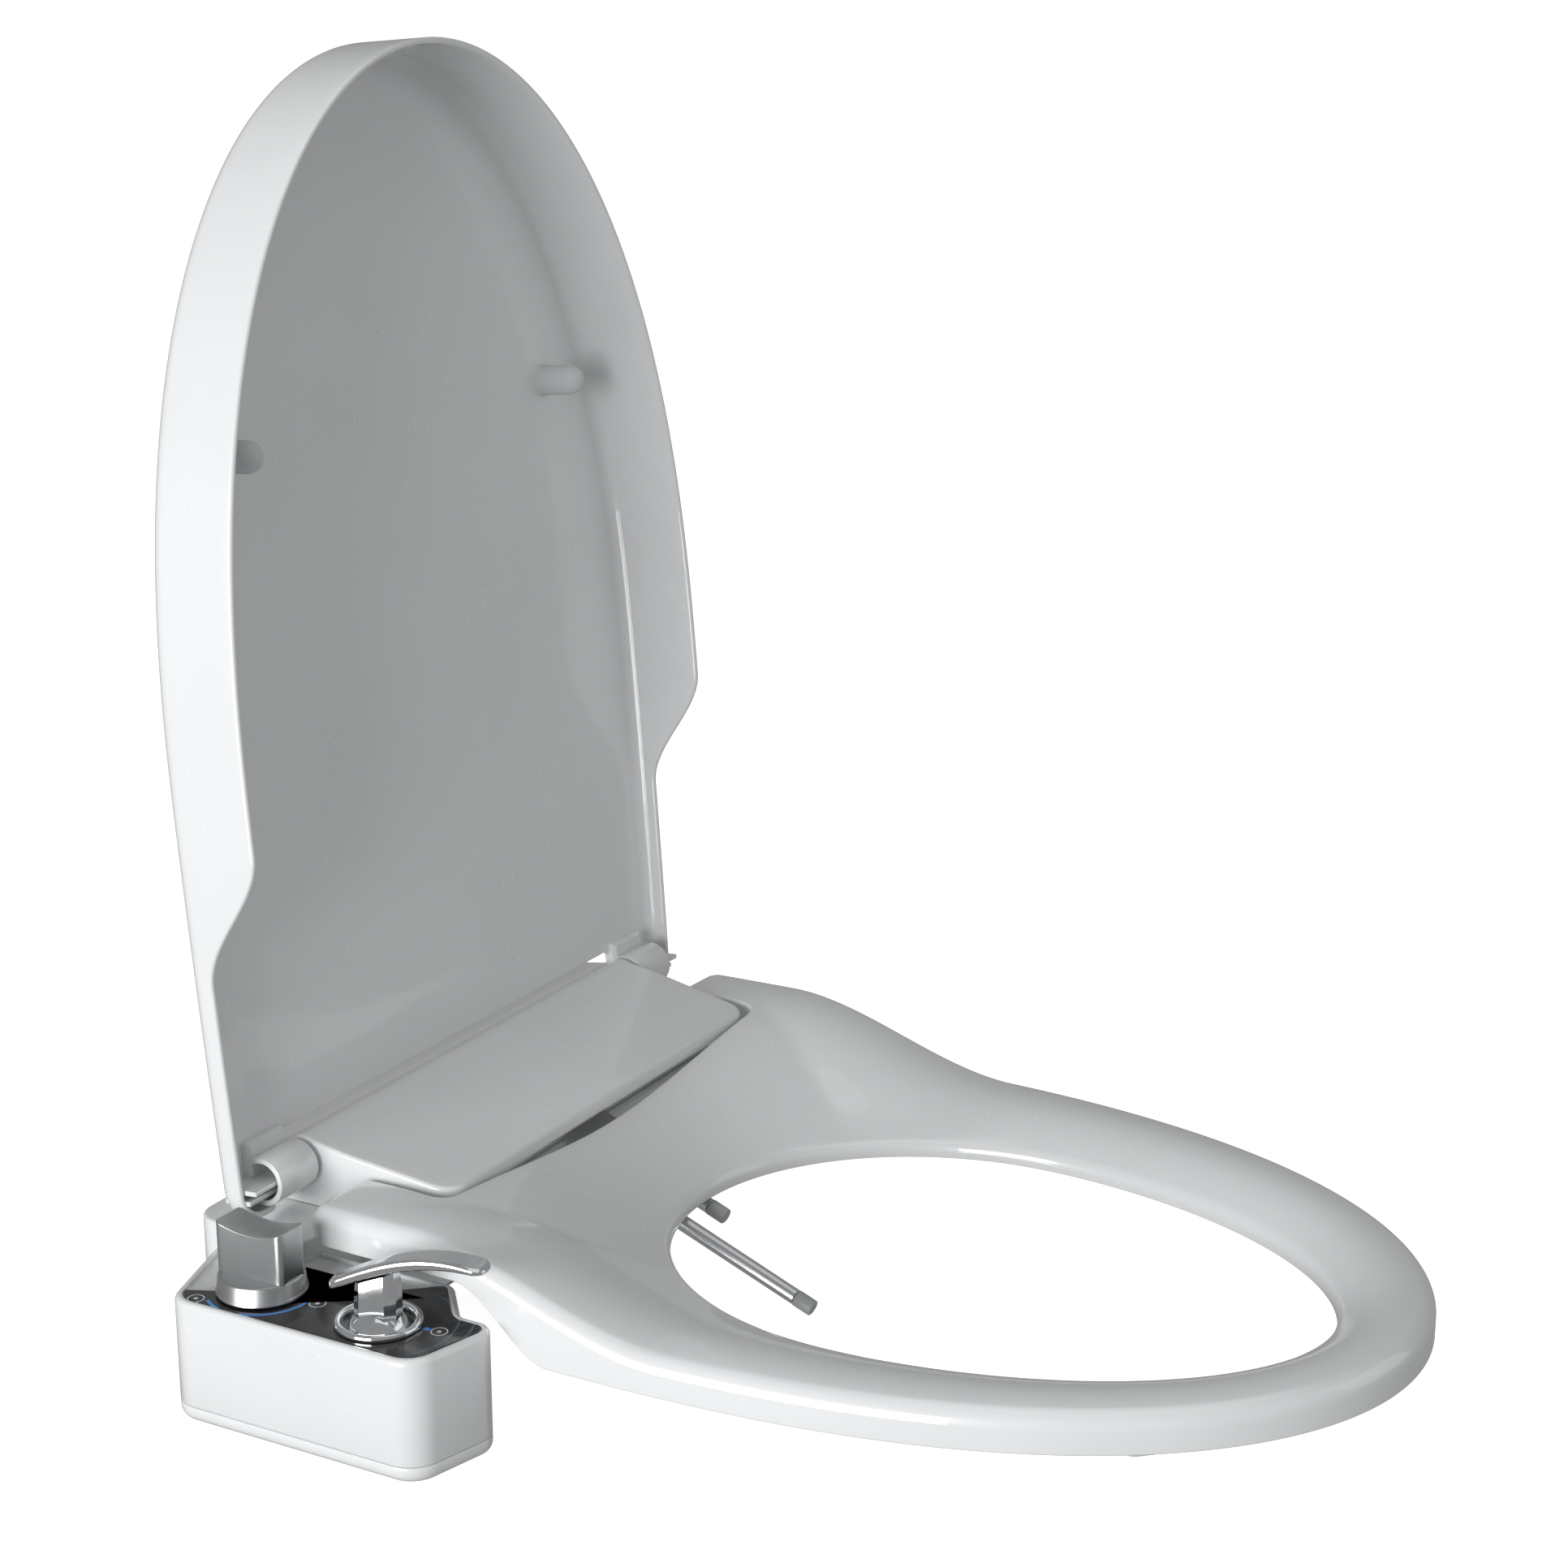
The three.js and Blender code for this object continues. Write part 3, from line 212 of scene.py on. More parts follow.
# ---------- meshes ----------
class Skin:
    """Points and faces gathered from grids and filled patches, then made into one object."""

    def __init__(self, place: Matrix | None = None) -> None:
        """Args: place: where the gathered points go, as a matrix in millimetres."""
        self.place = place or Matrix.Identity(4)
        self._points: list[np.ndarray] = []
        self._faces: list[Sequence[int]] = []
        self._count = 0

    def add(
        self, points: np.ndarray, faces: np.ndarray | list, place: Matrix | None = None
    ) -> None:
        """Adds points and the faces between them.

        Args:
            points: an (n, 3) array.
            faces: rows of indices into points.
            place: a matrix for these points alone, before the skin's own.
        """
        m = np.array(self.place @ (place or Matrix.Identity(4)))
        self._points.append(points @ m[:3, :3].T + m[:3, 3])
        self._faces.extend((np.asarray(f) + self._count).tolist() for f in faces)
        self._count += len(points)

    def grid(self, rows: np.ndarray, wrap: bool = True, place: Matrix | None = None) -> None:
        """Adds quads between rows of equal length; anticlockwise rows that rise face outwards."""
        count, n = rows.shape[:2]
        k = np.arange(count - 1)[:, None] * n
        i = np.arange(n if wrap else n - 1)[None]
        j = (i + 1) % n
        quads = np.stack([k + i, k + j, k + n + j, k + n + i], -1).reshape(-1, 4)
        self.add(rows.reshape(-1, 3), quads, place)

    def polygon(self, row: np.ndarray, up: bool, place: Matrix | None = None) -> None:
        """Closes a flat row with one face."""
        order = np.arange(len(row))
        self.add(row, [order if up else order[::-1]], place)

    def patch(self, rims: Sequence[np.ndarray], height: Height, spacing: float, up: bool) -> None:
        """Fills the space inside the first rim and outside the others with triangles.

        Args:
            rims: closed rows of (x, y, z) points.
            height: z at points between the rims.
            spacing: distance between the points added inside.
            up: whether the patch faces up.
        """
        rim = np.vstack(rims)
        low, high = rims[0][:, :2].min(0), rims[0][:, :2].max(0)
        x, y = np.meshgrid(np.arange(low[0], high[0], spacing), np.arange(low[1], high[1], spacing))
        free = np.stack([x.ravel(), y.ravel()], 1)
        free = free[inside(free, rims[0][:, :2])]
        for other in rims[1:]:
            free = free[~inside(free, other[:, :2])]
        if len(free):
            gap = np.min([np.hypot(free[:, 0] - px, free[:, 1] - py) for px, py in rim[:, :2]], 0)
            free = free[gap > spacing * 0.7]
        flat = np.vstack([rim[:, :2], free])
        starts = np.cumsum([0] + [len(r) for r in rims])
        edges = np.vstack([
            np.stack([s + np.arange(len(r)), s + (np.arange(len(r)) + 1) % len(r)], 1)
            for s, r in zip(starts, rims)
        ])
        found, _, triangles, origin, _, _ = delaunay_2d_cdt(
            [Vector(p) for p in flat], edges.tolist(), [], 0, 1e-6)
        xy = np.array([tuple(p) for p in found])
        source = np.array([o[0] if o else -1 for o in origin])
        z = height(xy[:, 0], xy[:, 1])
        on_rim = (source >= 0) & (source < len(rim))
        z = np.where(on_rim, rim[np.clip(source, 0, len(rim) - 1), 2], z)
        tri = np.array(triangles)
        middle = xy[tri].mean(1)
        keep = inside(middle, rims[0][:, :2])
        for other in rims[1:]:
            keep &= ~inside(middle, other[:, :2])
        tri = tri[keep]
        self.add(np.column_stack([xy, z]), tri if up else tri[:, ::-1])

    def lathe(self, profile: Sequence[tuple[float, float]], place: Matrix, count: int = 64) -> None:
        """Turns (radius, z) points, run from below the outside to above, about Z."""
        self.grid(turned_rows(profile, count), place=place)

    def slab(
        self,
        outline: np.ndarray,
        rows: Sequence[tuple[float, float]],
        place: Matrix | None = None,
    ) -> None:
        """Stacks an anticlockwise outline through (inset, z) rows and closes both ends flat."""
        loops = np.stack([np.column_stack([inset(outline, d), np.full(len(outline), z)])
                          for d, z in rows])
        self.grid(loops, place=place)
        self.polygon(loops[0], False, place)
        self.polygon(loops[-1], True, place)

    def make(
        self, name: str, body: Body, slot: Slot, nodes: Sequence[str], sharp: float = 40.0
    ) -> None:
        """Makes the object, welds its seams and hands it to the frame.

        Args:
            name: the piece's name.
            body: the body it rides on.
            slot: the material slot it takes its finish from.
            nodes: the CAD nodes it stands for.
            sharp: edges steeper than this many degrees stay crisp.
        """
        mesh = bpy.data.meshes.new(name)
        mesh.from_pydata((np.vstack(self._points) * MM).tolist(), [], self._faces)
        bm = bmesh.new()
        bm.from_mesh(mesh)
        bmesh.ops.remove_doubles(bm, verts=bm.verts, dist=WELD)
        bmesh.ops.dissolve_degenerate(bm, edges=bm.edges, dist=SHORTEST_EDGE)
        bm.to_mesh(mesh)
        bm.free()
        mesh.shade_smooth()
        mesh.set_sharp_from_angle(angle=math.radians(sharp))
        piece = bpy.data.objects.new(name, mesh)
        bpy.context.scene.collection.objects.link(piece)
        mesh.materials.append(FINISHES[slot].material())
        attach(piece, body.value)
        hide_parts(*nodes)
        log.info("%s: %d faces on %s", name, len(mesh.polygons), body.value)


@dataclass(frozen=True)
class Rim:
    """One closed edge of a moulding: (inset, rise) rows over the underside, then over the top.

    Each inset and rise is one number or one for each point of the outline.
    """

    outline: np.ndarray
    below: Sequence[tuple[float | np.ndarray, float | np.ndarray]]
    above: Sequence[tuple[float | np.ndarray, float | np.ndarray]]

    def rows(self, under: Height, top: Height) -> np.ndarray:
        """The rim's rows, from its underside patch round the wall to its top patch."""
        out = []
        for height, steps in ((under, self.below), (top, self.above)):
            for d, rise in steps:
                xy = inset(self.outline, d)
                out.append(np.column_stack([xy, height(xy[:, 0], xy[:, 1]) + rise]))
        return np.stack(out)


def moulding(skin: Skin, rims: Sequence[Rim], under: Height, top: Height, spacing: float) -> None:
    """Adds a closed piece over a plan: its first rim is outside, and the others are holes."""
    rows = [rim.rows(under, top) for rim in rims]
    for row in rows:
        skin.grid(row)
    skin.patch([r[0] for r in rows], lambda x, y: under(x, y) + rims[0].below[0][1], spacing, False)
    skin.patch([r[-1] for r in rows], top, spacing, True)


def flat(z: float) -> Height:
    """A level height."""
    return lambda x, y: np.full(np.shape(x), float(z))


def along_x(x: float, y: float, z: float) -> Matrix:
    """A place whose Z axis runs along +X."""
    return Matrix.Translation((x, y, z)) @ Matrix.Rotation(math.pi / 2, 4, "Y")


# ---------- finishes ----------
class Value:
    """A shader value: Python arithmetic on it adds math nodes."""

    def __init__(self, graph: "Graph", socket: bpy.types.NodeSocket) -> None:
        """Args: graph: the graph it belongs to. socket: the output that carries it."""
        self.graph = graph
        self.socket = socket

    def math(self, operation: str, *others: "Value | float") -> "Value":
        """One math node on this value and up to two others."""
        inputs = {i: v for i, v in enumerate((self, *others))}
        return self.graph.node("ShaderNodeMath", {"operation": operation}, inputs)

    def __add__(self, other: "Value | float") -> "Value":
        """self + other."""
        return self.math("ADD", other)

    def __sub__(self, other: "Value | float") -> "Value":
        """self - other."""
        return self.math("SUBTRACT", other)

    def __mul__(self, other: "Value | float") -> "Value":
        """self * other."""
        return self.math("MULTIPLY", other)

    def __truediv__(self, other: "Value | float") -> "Value":
        """self / other."""
        return self.math("DIVIDE", other)

    def __rsub__(self, other: "Value | float") -> "Value":
        """other - self."""
        return self.graph.constant(other).math("SUBTRACT", self)

    def __rtruediv__(self, other: "Value | float") -> "Value":
        """other / self."""
        return self.graph.constant(other).math("DIVIDE", self)

    __radd__ = __add__
    __rmul__ = __mul__

    def __pow__(self, other: "Value | float") -> "Value":
        """self to a power."""
        return self.math("POWER", other)

    def __neg__(self) -> "Value":
        """The value with its sign turned."""
        return self * -1.0

    def __abs__(self) -> "Value":
        """The value without its sign."""
        return self.math("ABSOLUTE")

    def most(self, other: "Value | float") -> "Value":
        """The larger of two values."""
        return self.math("MAXIMUM", other)

    def step(self, low: float, high: float) -> "Value":
        """Rises smoothly from 0 at low to 1 at high; low may be the larger."""
        settings = {"interpolation_type": "SMOOTHSTEP"}
        if low > high:
            return 1.0 - self.step(high, low)
        return self.graph.node("ShaderNodeMapRange", settings, {0: self, 1: low, 2: high})


class Graph:
    """A material's node tree with one Principled shader."""

    def __init__(self, name: str) -> None:
        """Args: name: the material's name."""
        self.material = bpy.data.materials.new(name)
        self.material.use_nodes = True
        self.tree = self.material.node_tree
        self.shader = next(n for n in self.tree.nodes if n.type == "BSDF_PRINCIPLED")
        coordinates = self.tree.nodes.new("ShaderNodeTexCoord")
        self.place = coordinates.outputs["Object"]

    def link(
        self,
        source: "Value | bpy.types.NodeSocket | float | tuple[float, ...] | Vector",
        target: bpy.types.NodeSocket,
    ) -> None:
        """Links a value or socket to an input, or sets the input to a number or colour."""
        if isinstance(source, Value):
            source = source.socket
        if isinstance(source, bpy.types.NodeSocket):
            self.tree.links.new(source, target)
        else:
            target.default_value = source

    def node(self, kind: str, settings: dict, inputs: dict, output: int | str = 0) -> Value:
        """Adds one node.

        Args:
            kind: the node's type.
            settings: its properties, set before its inputs.
            inputs: values by input name or number.
            output: the output to return.

        Returns:
            The output as a value.
        """
        made = self.tree.nodes.new(kind)
        for key, value in settings.items():
            setattr(made, key, value)
        for key, value in inputs.items():
            self.link(value, made.inputs[key])
        return Value(self, made.outputs[output])

    def constant(self, number: float) -> Value:
        """A fixed number as a value."""
        made = self.tree.nodes.new("ShaderNodeValue")
        made.outputs[0].default_value = number
        return Value(self, made.outputs[0])

    def noise(
        self, scale: float, detail: float = 3.0, stretch: tuple[float, ...] = (1.0, 1.0, 1.0)
    ) -> Value:
        """Noise over the piece, stretched along its axes."""
        place = self.node("ShaderNodeVectorMath", {"operation": "MULTIPLY"},
                          {0: self.place, 1: stretch})
        inputs = {"Vector": place, "Scale": scale, "Detail": detail}
        return self.node("ShaderNodeTexNoise", {}, inputs)

    def axes(self) -> tuple[Value, Value, Value]:
        """x, y and z over the piece, in millimetres."""
        made = self.tree.nodes.new("ShaderNodeSeparateXYZ")
        self.link(self.place, made.inputs[0])
        return tuple(Value(self, made.outputs[k]) * (1 / MM) for k in range(3))

    def mix(
        self,
        amount: Value | float,
        first: Value | tuple[float, ...],
        second: Value | tuple[float, ...],
    ) -> Value:
        """A colour between two colours."""
        first, second = (c if isinstance(c, Value) else (*c, 1.0) for c in (first, second))
        inputs = {0: amount, 6: first, 7: second}
        return self.node("ShaderNodeMix", {"data_type": "RGBA"}, inputs, 2)

    def bump(self, height: Value, distance: float, strength: float = 1.0) -> None:
        """Bumps the shader's normal by a height of 0 to 1 over a distance in metres."""
        normal = self.node("ShaderNodeBump", {}, {
            "Height": height, "Distance": distance, "Strength": strength})
        self.link(normal, self.shader.inputs["Normal"])

    def set(self, **inputs: Value | float | tuple[float, ...]) -> None:
        """Sets or links the shader's inputs; underscores stand for spaces."""
        for key, value in inputs.items():
            if isinstance(value, tuple):
                value = (*value, 1.0)
            self.link(value, self.shader.inputs[key.replace("_", " ")])


@dataclass(frozen=True)
class Plastic:
    """A moulded plastic: faint tint clouds, an uneven sheen and a fine skin."""

    name: str
    colour: tuple[float, float, float]
    roughness: float
    spread: float = 0.05
    coat: float = 0.0
    grain: float = 2e-6
    grain_scale: float = 900.0

    def material(self) -> bpy.types.Material:
        """Builds the material once and returns it."""
        if self.name in bpy.data.materials:
            return bpy.data.materials[self.name]
        g = Graph(self.name)
        clouds = g.noise(9.0, 4.0)
        specks = g.noise(260.0, 2.0)
        dull = tuple(c * 0.965 for c in self.colour)
        g.set(Base_Color=g.mix(clouds.step(0.35, 0.75), self.colour, dull))
        uneven = (clouds - 0.5) * self.spread + specks.step(0.62, 0.8) * 0.03
        g.set(Roughness=self.roughness + uneven)
        g.set(Coat_Weight=self.coat, Coat_Roughness=0.02)
        g.bump(g.noise(self.grain_scale, 2.0) + g.noise(38.0, 1.0) * 3.0, self.grain)
        return g.material


@dataclass(frozen=True)
class Metal:
    """A plated or turned metal: smudges, and fine lines along one axis."""

    name: str
    colour: tuple[float, float, float]
    roughness: float
    lines: tuple[float, float, float] = (1.0, 1.0, 1.0)
    depth: float = 1e-6

    def material(self) -> bpy.types.Material:
        """Builds the material once and returns it."""
        if self.name in bpy.data.materials:
            return bpy.data.materials[self.name]
        g = Graph(self.name)
        smudge = g.noise(60.0, 4.0)
        lines = g.noise(700.0, 3.0, self.lines)
        dark = tuple(c * 0.88 for c in self.colour)
        g.set(Base_Color=g.mix(smudge.step(0.45, 0.8), self.colour, dark), Metallic=1.0)
        g.set(Roughness=self.roughness + smudge.step(0.5, 0.75) * 0.05 + (lines - 0.5) * 0.06)
        g.bump(lines, self.depth)
        return g.material


@dataclass(frozen=True)
class PrintedGlass:
    """A black panel with coloured arcs, round icons and fine wave lines printed under its gloss."""

    name: str
    colour: tuple[float, float, float] = (0.012, 0.012, 0.013)
    blue: tuple[float, float, float] = (0.05, 0.30, 0.85)
    red: tuple[float, float, float] = (0.75, 0.02, 0.02)
    white: tuple[float, float, float] = (0.75, 0.76, 0.76)
    arc_radius: float = 24.5
    icon: float = 3.6

    def _arc(
        self, x: Value, y: Value, radius: float, half: float, toward: float, span: float
    ) -> Value:
        """A ring's part: 1 within `half` of the radius and `span` degrees of the direction."""
        along = x * math.cos(math.radians(toward)) + y * math.sin(math.radians(toward))
        r = (x * x + y * y).math("SQRT")
        ring = abs(r - radius).step(half, half - 0.25)
        outer, inner = math.cos(math.radians(span)), math.cos(math.radians(span - 1))
        return ring * (along / r).step(outer, inner)

    def material(self) -> bpy.types.Material:
        """Builds the material once and returns it."""
        if self.name in bpy.data.materials:
            return bpy.data.materials[self.name]
        g = Graph(self.name)
        x, y, _ = g.axes()
        knob, lever = centre_mm("temperature_knob"), centre_mm("lever_bezel")
        kx, ky, lx, ly = x - knob[0], y - knob[1], x - lever[0], y - lever[1]
        paler = tuple(c * 1.5 for c in self.colour)
        colour = g.mix(g.noise(25.0, 3.0).step(0.4, 0.7), self.colour, paler)
        swirl = g.noise(18.0, 2.0) * 9.0
        wave = (ly + 58.0 + lx * 0.6 + swirl).math("SINE")
        reach = (lx * lx + ly * ly).math("SQRT")
        rings = (reach * 0.9 + swirl * 0.5).math("SINE")
        area_mask = reach.step(24.0, 38.0) * (ly + lx * -0.5).step(-8.0, -30.0)
        colour = g.mix(rings.step(0.72, 0.98) * area_mask * 0.35, colour, (0.20, 0.30, 0.42))
        colour = g.mix(wave.step(0.9, 1.0) * area_mask * 0.2, colour, (0.35, 0.38, 0.42))
        blue = self._arc(kx, ky, self.arc_radius, 0.9, 205.5, 63.5)
        red = self._arc(kx, ky, self.arc_radius, 1.6, 305.5, 32.5)
        colour = g.mix(blue, colour, self.blue)
        colour = g.mix(red, colour, self.red)
        marks = None
        spots = ((135.0, 29.1, kx, ky), (272.5, 29.4, kx, ky), (283.0, 28.0, lx, ly))
        for toward, radius, cx, cy in spots:
            a = math.radians(toward)
            ox, oy = cx - radius * math.cos(a), cy - radius * math.sin(a)
            r = (ox * ox + oy * oy).math("SQRT")
            ring = abs(r - self.icon).step(0.38, 0.2).most((r - 0.9).step(0.35, 0.0) * 0.9)
            marks = ring if marks is None else marks.most(ring)
        colour = g.mix(marks, colour, self.white)
        a = math.radians(285.0)
        across, along = lx - 22.0 * math.cos(a), ly - 22.0 * math.sin(a)
        dot = abs(across).most(abs(along)).step(1.5, 1.3)
        colour = g.mix(dot, colour, self.blue)
        g.set(Base_Color=colour, Roughness=0.16 + g.noise(70.0, 4.0).step(0.5, 0.8) * 0.05)
        g.set(Coat_Weight=0.6, Coat_Roughness=0.03)
        g.bump(g.noise(50.0, 2.0), 2e-6)
        return g.material


FINISHES = {
    Slot.WHITE: Plastic("white_gloss_finish", (0.80, 0.81, 0.815), 0.26, 0.06, 1.0),
    Slot.GREY: Plastic("grey_plastic_finish", (0.40, 0.41, 0.42), 0.38, 0.1, 0.0, 6e-6),
    Slot.SATIN: Metal("satin_grey_finish", (0.52, 0.53, 0.535), 0.33, (1.0, 1.0, 6.0), 1.2e-6),
    Slot.GLASS: PrintedGlass("black_glass_finish"),
    Slot.CHROME: Metal("chrome_finish", (0.80, 0.81, 0.82), 0.09),
    Slot.STEEL: Metal("steel_finish", (0.62, 0.63, 0.64), 0.3, (1.0, 8.0, 8.0), 2e-6),
    Slot.BRASS: Metal("brass_finish", (0.62, 0.46, 0.20), 0.32, (6.0, 6.0, 1.0), 3e-6),
    Slot.RUBBER: Plastic("pale_rubber_finish", (0.66, 0.68, 0.68), 0.6, 0.12, 0.0, 9e-6, 500.0),
    Slot.TUBING: Plastic("tubing_finish", (0.80, 0.81, 0.81), 0.45, 0.1, 0.0, 4e-6),
}


# ---------- lid ----------
@dataclass(frozen=True)
class Lid:
    """The raised lid: a dish with a deep skirt, hinge barrels at its foot and two bumpers."""

    half_width: float = 189.0
    half_rear: float = 186.0
    widest: float = 170.0
    length: float = 498.0
    below: float = 16.0
    corner: float = 16.0
    wall: float = 3.0
    back: float = 13.0
    edge: float = 9.0
    rim_deep: float = 33.4
    rim_shallow: float = 1.2
    notch: tuple[float, float] = (98.0, 160.0)
    cut: tuple[float, float] = (142.7, 13.5)
    lean: float = 4.73
    barrel: tuple[float, float] = (143.0, 170.0)
    barrel_r: float = 11.5
    bore: float = 8.8
    bumper_r: float = 7.5
    bumper_tip: float = 14.0
    rib: float = 2.2
    sunk: float = 0.5  # ribs and blocks start this far inside the panel

    def hinge(self) -> Sequence[float]:
        """The hinge's place, in metres."""
        return next(j for j in frame["joints"] if j["name"] == "lid_hinge")["pos_m"]

    def place(self) -> Matrix:
        """Stands (x, s, m) up on the hinge: s runs to the tip, m out of the dish."""
        stand = Matrix(((1, 0, 0, 0), (0, 0, -1, 0), (0, 1, 0, 0), (0, 0, 0, 1)))
        turn = Matrix.Rotation(-math.radians(self.lean), 4, "X")
        return Matrix.Translation(Vector(self.hinge()) / MM) @ turn @ stand

    def outline(self) -> np.ndarray:
        """(x, s): x = a sin u, s = w + (l - w) cos(u)^(1/1.2) in front; the sides run in by a
        parabola; arcs round the corners past the axis."""
        u = np.linspace(0, math.pi / 2, 400)
        ahead = (self.length - self.widest) * np.cos(u).clip(0) ** (1 / 1.2)
        tip = np.stack([self.half_width * np.sin(u), self.widest + ahead], 1)
        s = np.linspace(self.widest, self.corner - self.below, 60)[1:]
        t = (self.widest - s) / (self.widest + self.below)
        side = np.stack([self.half_width - (self.half_width - self.half_rear) * t * t, s], 1)
        x0 = side[-1, 0] - self.corner
        a = np.linspace(0, math.pi / 2, 13)
        foot = np.stack([x0 + self.corner * np.cos(a),
                         self.corner - self.below - self.corner * np.sin(a)], 1)
        half = np.vstack([tip, side, foot[1:]])
        return anticlockwise(np.vstack([half, half[::-1][:-1] * (-1, 1)]))

    def cut_outline(self) -> np.ndarray:
        """The outline with the space for the deck's bosses cut out of its foot."""
        loop = resample(self.outline(), 2.4)
        x, s = self.cut
        foot = loop[:, 1] < 0.02 - self.below
        right = loop[~foot | (loop[:, 0] > x + 0.5)]
        right = right[(right[:, 0] > x) | (right[:, 1] > 0.02 - self.below)]
        keep = loop[~(foot & (np.abs(loop[:, 0]) < x + 1.0))]
        start = int(np.argmin(np.where(keep[:, 0] > 0, keep[:, 1] * 1e3 + np.abs(keep[:, 0]), 1e9)))
        keep = np.roll(keep, -start, 0)
        step = arcs([(-x, -self.below), (-x, s, 3.0), (x, s, 3.0), (x, -self.below)], 6)
        n = 60
        middle = int(np.argmax(np.linalg.norm(np.diff(step, axis=0), axis=1)))
        bar = np.linspace(step[middle], step[middle + 1], n)[1:-1]
        return np.vstack([keep, step[:middle + 1], bar, step[middle + 1:]])

    def rim(self, s: np.ndarray) -> np.ndarray:
        """Depth of the rim: shallow + (deep - shallow) smooth((s - from) / (to - from))."""
        low, high = self.notch
        deeper = smooth((s - low) / (high - low))
        return self.rim_shallow + (self.rim_deep - self.rim_shallow) * deeper

    def rows(self, loop: np.ndarray) -> np.ndarray:
        """The dish's rows, from its back over the skirt's rim to its inner panel."""
        x, s = loop.T
        deep = self.rim(s)
        low = s < -self.below + 6
        bare = np.where(s < self.cut[1] + 1, smooth((166 - np.abs(x)) / 18), 0.0)
        bare = np.where((np.abs(x) < self.cut[0] + 0.5) & (s < self.cut[1] + 1), 1.0, bare)
        bare = np.where(low | (s < self.cut[1] + 1), bare, 0.0)
        half = self.wall / 2
        inner = self.edge - self.wall
        ones = np.ones(len(loop))
        rows = []

        def add(d, m, edge_d, edge_m):
            """One row: skirt position, and the bare edge's position."""
            off = d * ones * (1 - bare) + edge_d * bare
            lift = m * ones * (1 - bare) + edge_m * bare
            rows.append(np.column_stack([inset(loop, off), lift]))

        def bare_at(angle):
            """The bare edge's half round."""
            return half - half * math.cos(angle), half - self.back + half * math.sin(angle)

        for t in np.linspace(0, 1, 10):
            a = math.pi / 2 * (1 - t)
            add(self.edge * (1 - math.cos(a)), self.edge * (1 - math.sin(a)) - self.back,
                self.edge + (half - self.edge) * t, -self.back)
        wall_top = self.edge - self.back
        for t in np.linspace(0, 1, 7)[1:]:
            add(0.0, wall_top + (deep - half - wall_top) * t, *bare_at(math.radians(-90 + 45 * t)))
        for t in np.linspace(0, 1, 9)[1:]:
            a = math.pi * t
            add(half - half * math.cos(a), deep - half + half * math.sin(a),
                *bare_at(math.radians(-45 + 90 * t)))
        for t in np.linspace(0, 1, 7)[1:]:
            add(self.wall, deep - half + (wall_top - deep + half) * t,
                *bare_at(math.radians(45 + 45 * t)))
        for t in np.linspace(0, 1, 8)[1:]:
            a = math.pi / 2 * t
            add(self.wall + inner * (1 - math.cos(a)),
                self.wall - self.back + inner * (1 - math.sin(a)),
                half + (self.edge - half) * t, self.wall - self.back)
        return np.stack(rows)

    def build(self) -> None:
        """Builds the shell and its two bumpers."""
        skin = Skin(self.place())
        rows = self.rows(self.cut_outline())
        skin.grid(rows)
        skin.polygon(rows[0], False)
        skin.polygon(rows[-1], True)
        x0, x1 = self.barrel
        r, b = self.barrel_r, self.bore
        tube = [(0, 0), (r - 0.5, 0), (r - 0.1, 0.2), (r, 0.6), (r, x1 - x0 - 0.6),
                (r - 0.2, x1 - x0 - 0.1), (r - 0.6, x1 - x0), (b + 0.3, x1 - x0),
                (b, x1 - x0 - 0.3), (b, 4), (0, 4)]
        panel = self.wall - self.back
        for side in (-1, 1):
            spin = Matrix.Identity(4) if side > 0 else Matrix.Rotation(math.pi, 4, "Y")
            skin.lathe(tube, spin @ along_x(x0, 0, 0))
            near, far = sorted((side * (x0 + 0.2), side * (x1 - 0.2)))
            foot = rectangle(near, -10.5, far, 17.5, 1.5, 4)
            skin.slab(foot, [(0, panel - self.sunk), (0, -r * 0.62), (1.4, -r * 0.5)])
            near, far = sorted((side * (x0 + 4), side * (self.half_rear - 2.5)))
            half = self.rib / 2
            for level, out in ((0.0, 1 - b), (-5.2, 1 - b * 0.55)):
                rib = rectangle(near, level - half, far, level + half, 0.0)
                skin.slab(rib, [(0, panel - self.sunk), (0, -out - 0.5),
                                (0.35, -out - 0.1), (0.6, -out)])
        skin.make("lid_dish", Body.LID, Slot.WHITE, ["lid_shell"])
        for word in ("left", "right"):
            x = centre_mm(f"lid_bumper_{word}")[0]
            low, high = box_mm(f"lid_bumper_{word}")
            over = (low[2] + high[2]) / 2 - self.hinge()[2] / MM
            s = over / math.cos(math.radians(self.lean))
            post = Skin(self.place())
            tip, r = self.bumper_tip, self.bumper_r
            a = np.linspace(0, math.pi / 2, 14)
            dome = [(r * math.cos(t), tip - r + r * math.sin(t)) for t in a]
            collar = [(0, panel), (r + 0.8, panel), (r + 0.8, panel + 0.8), (r, panel + 1.6)]
            post.lathe([*collar, *dome], Matrix.Translation((x, s, 0)), 48)
            post.make(f"lid_stop_{word}", Body.LID, Slot.RUBBER, [f"lid_bumper_{word}"])


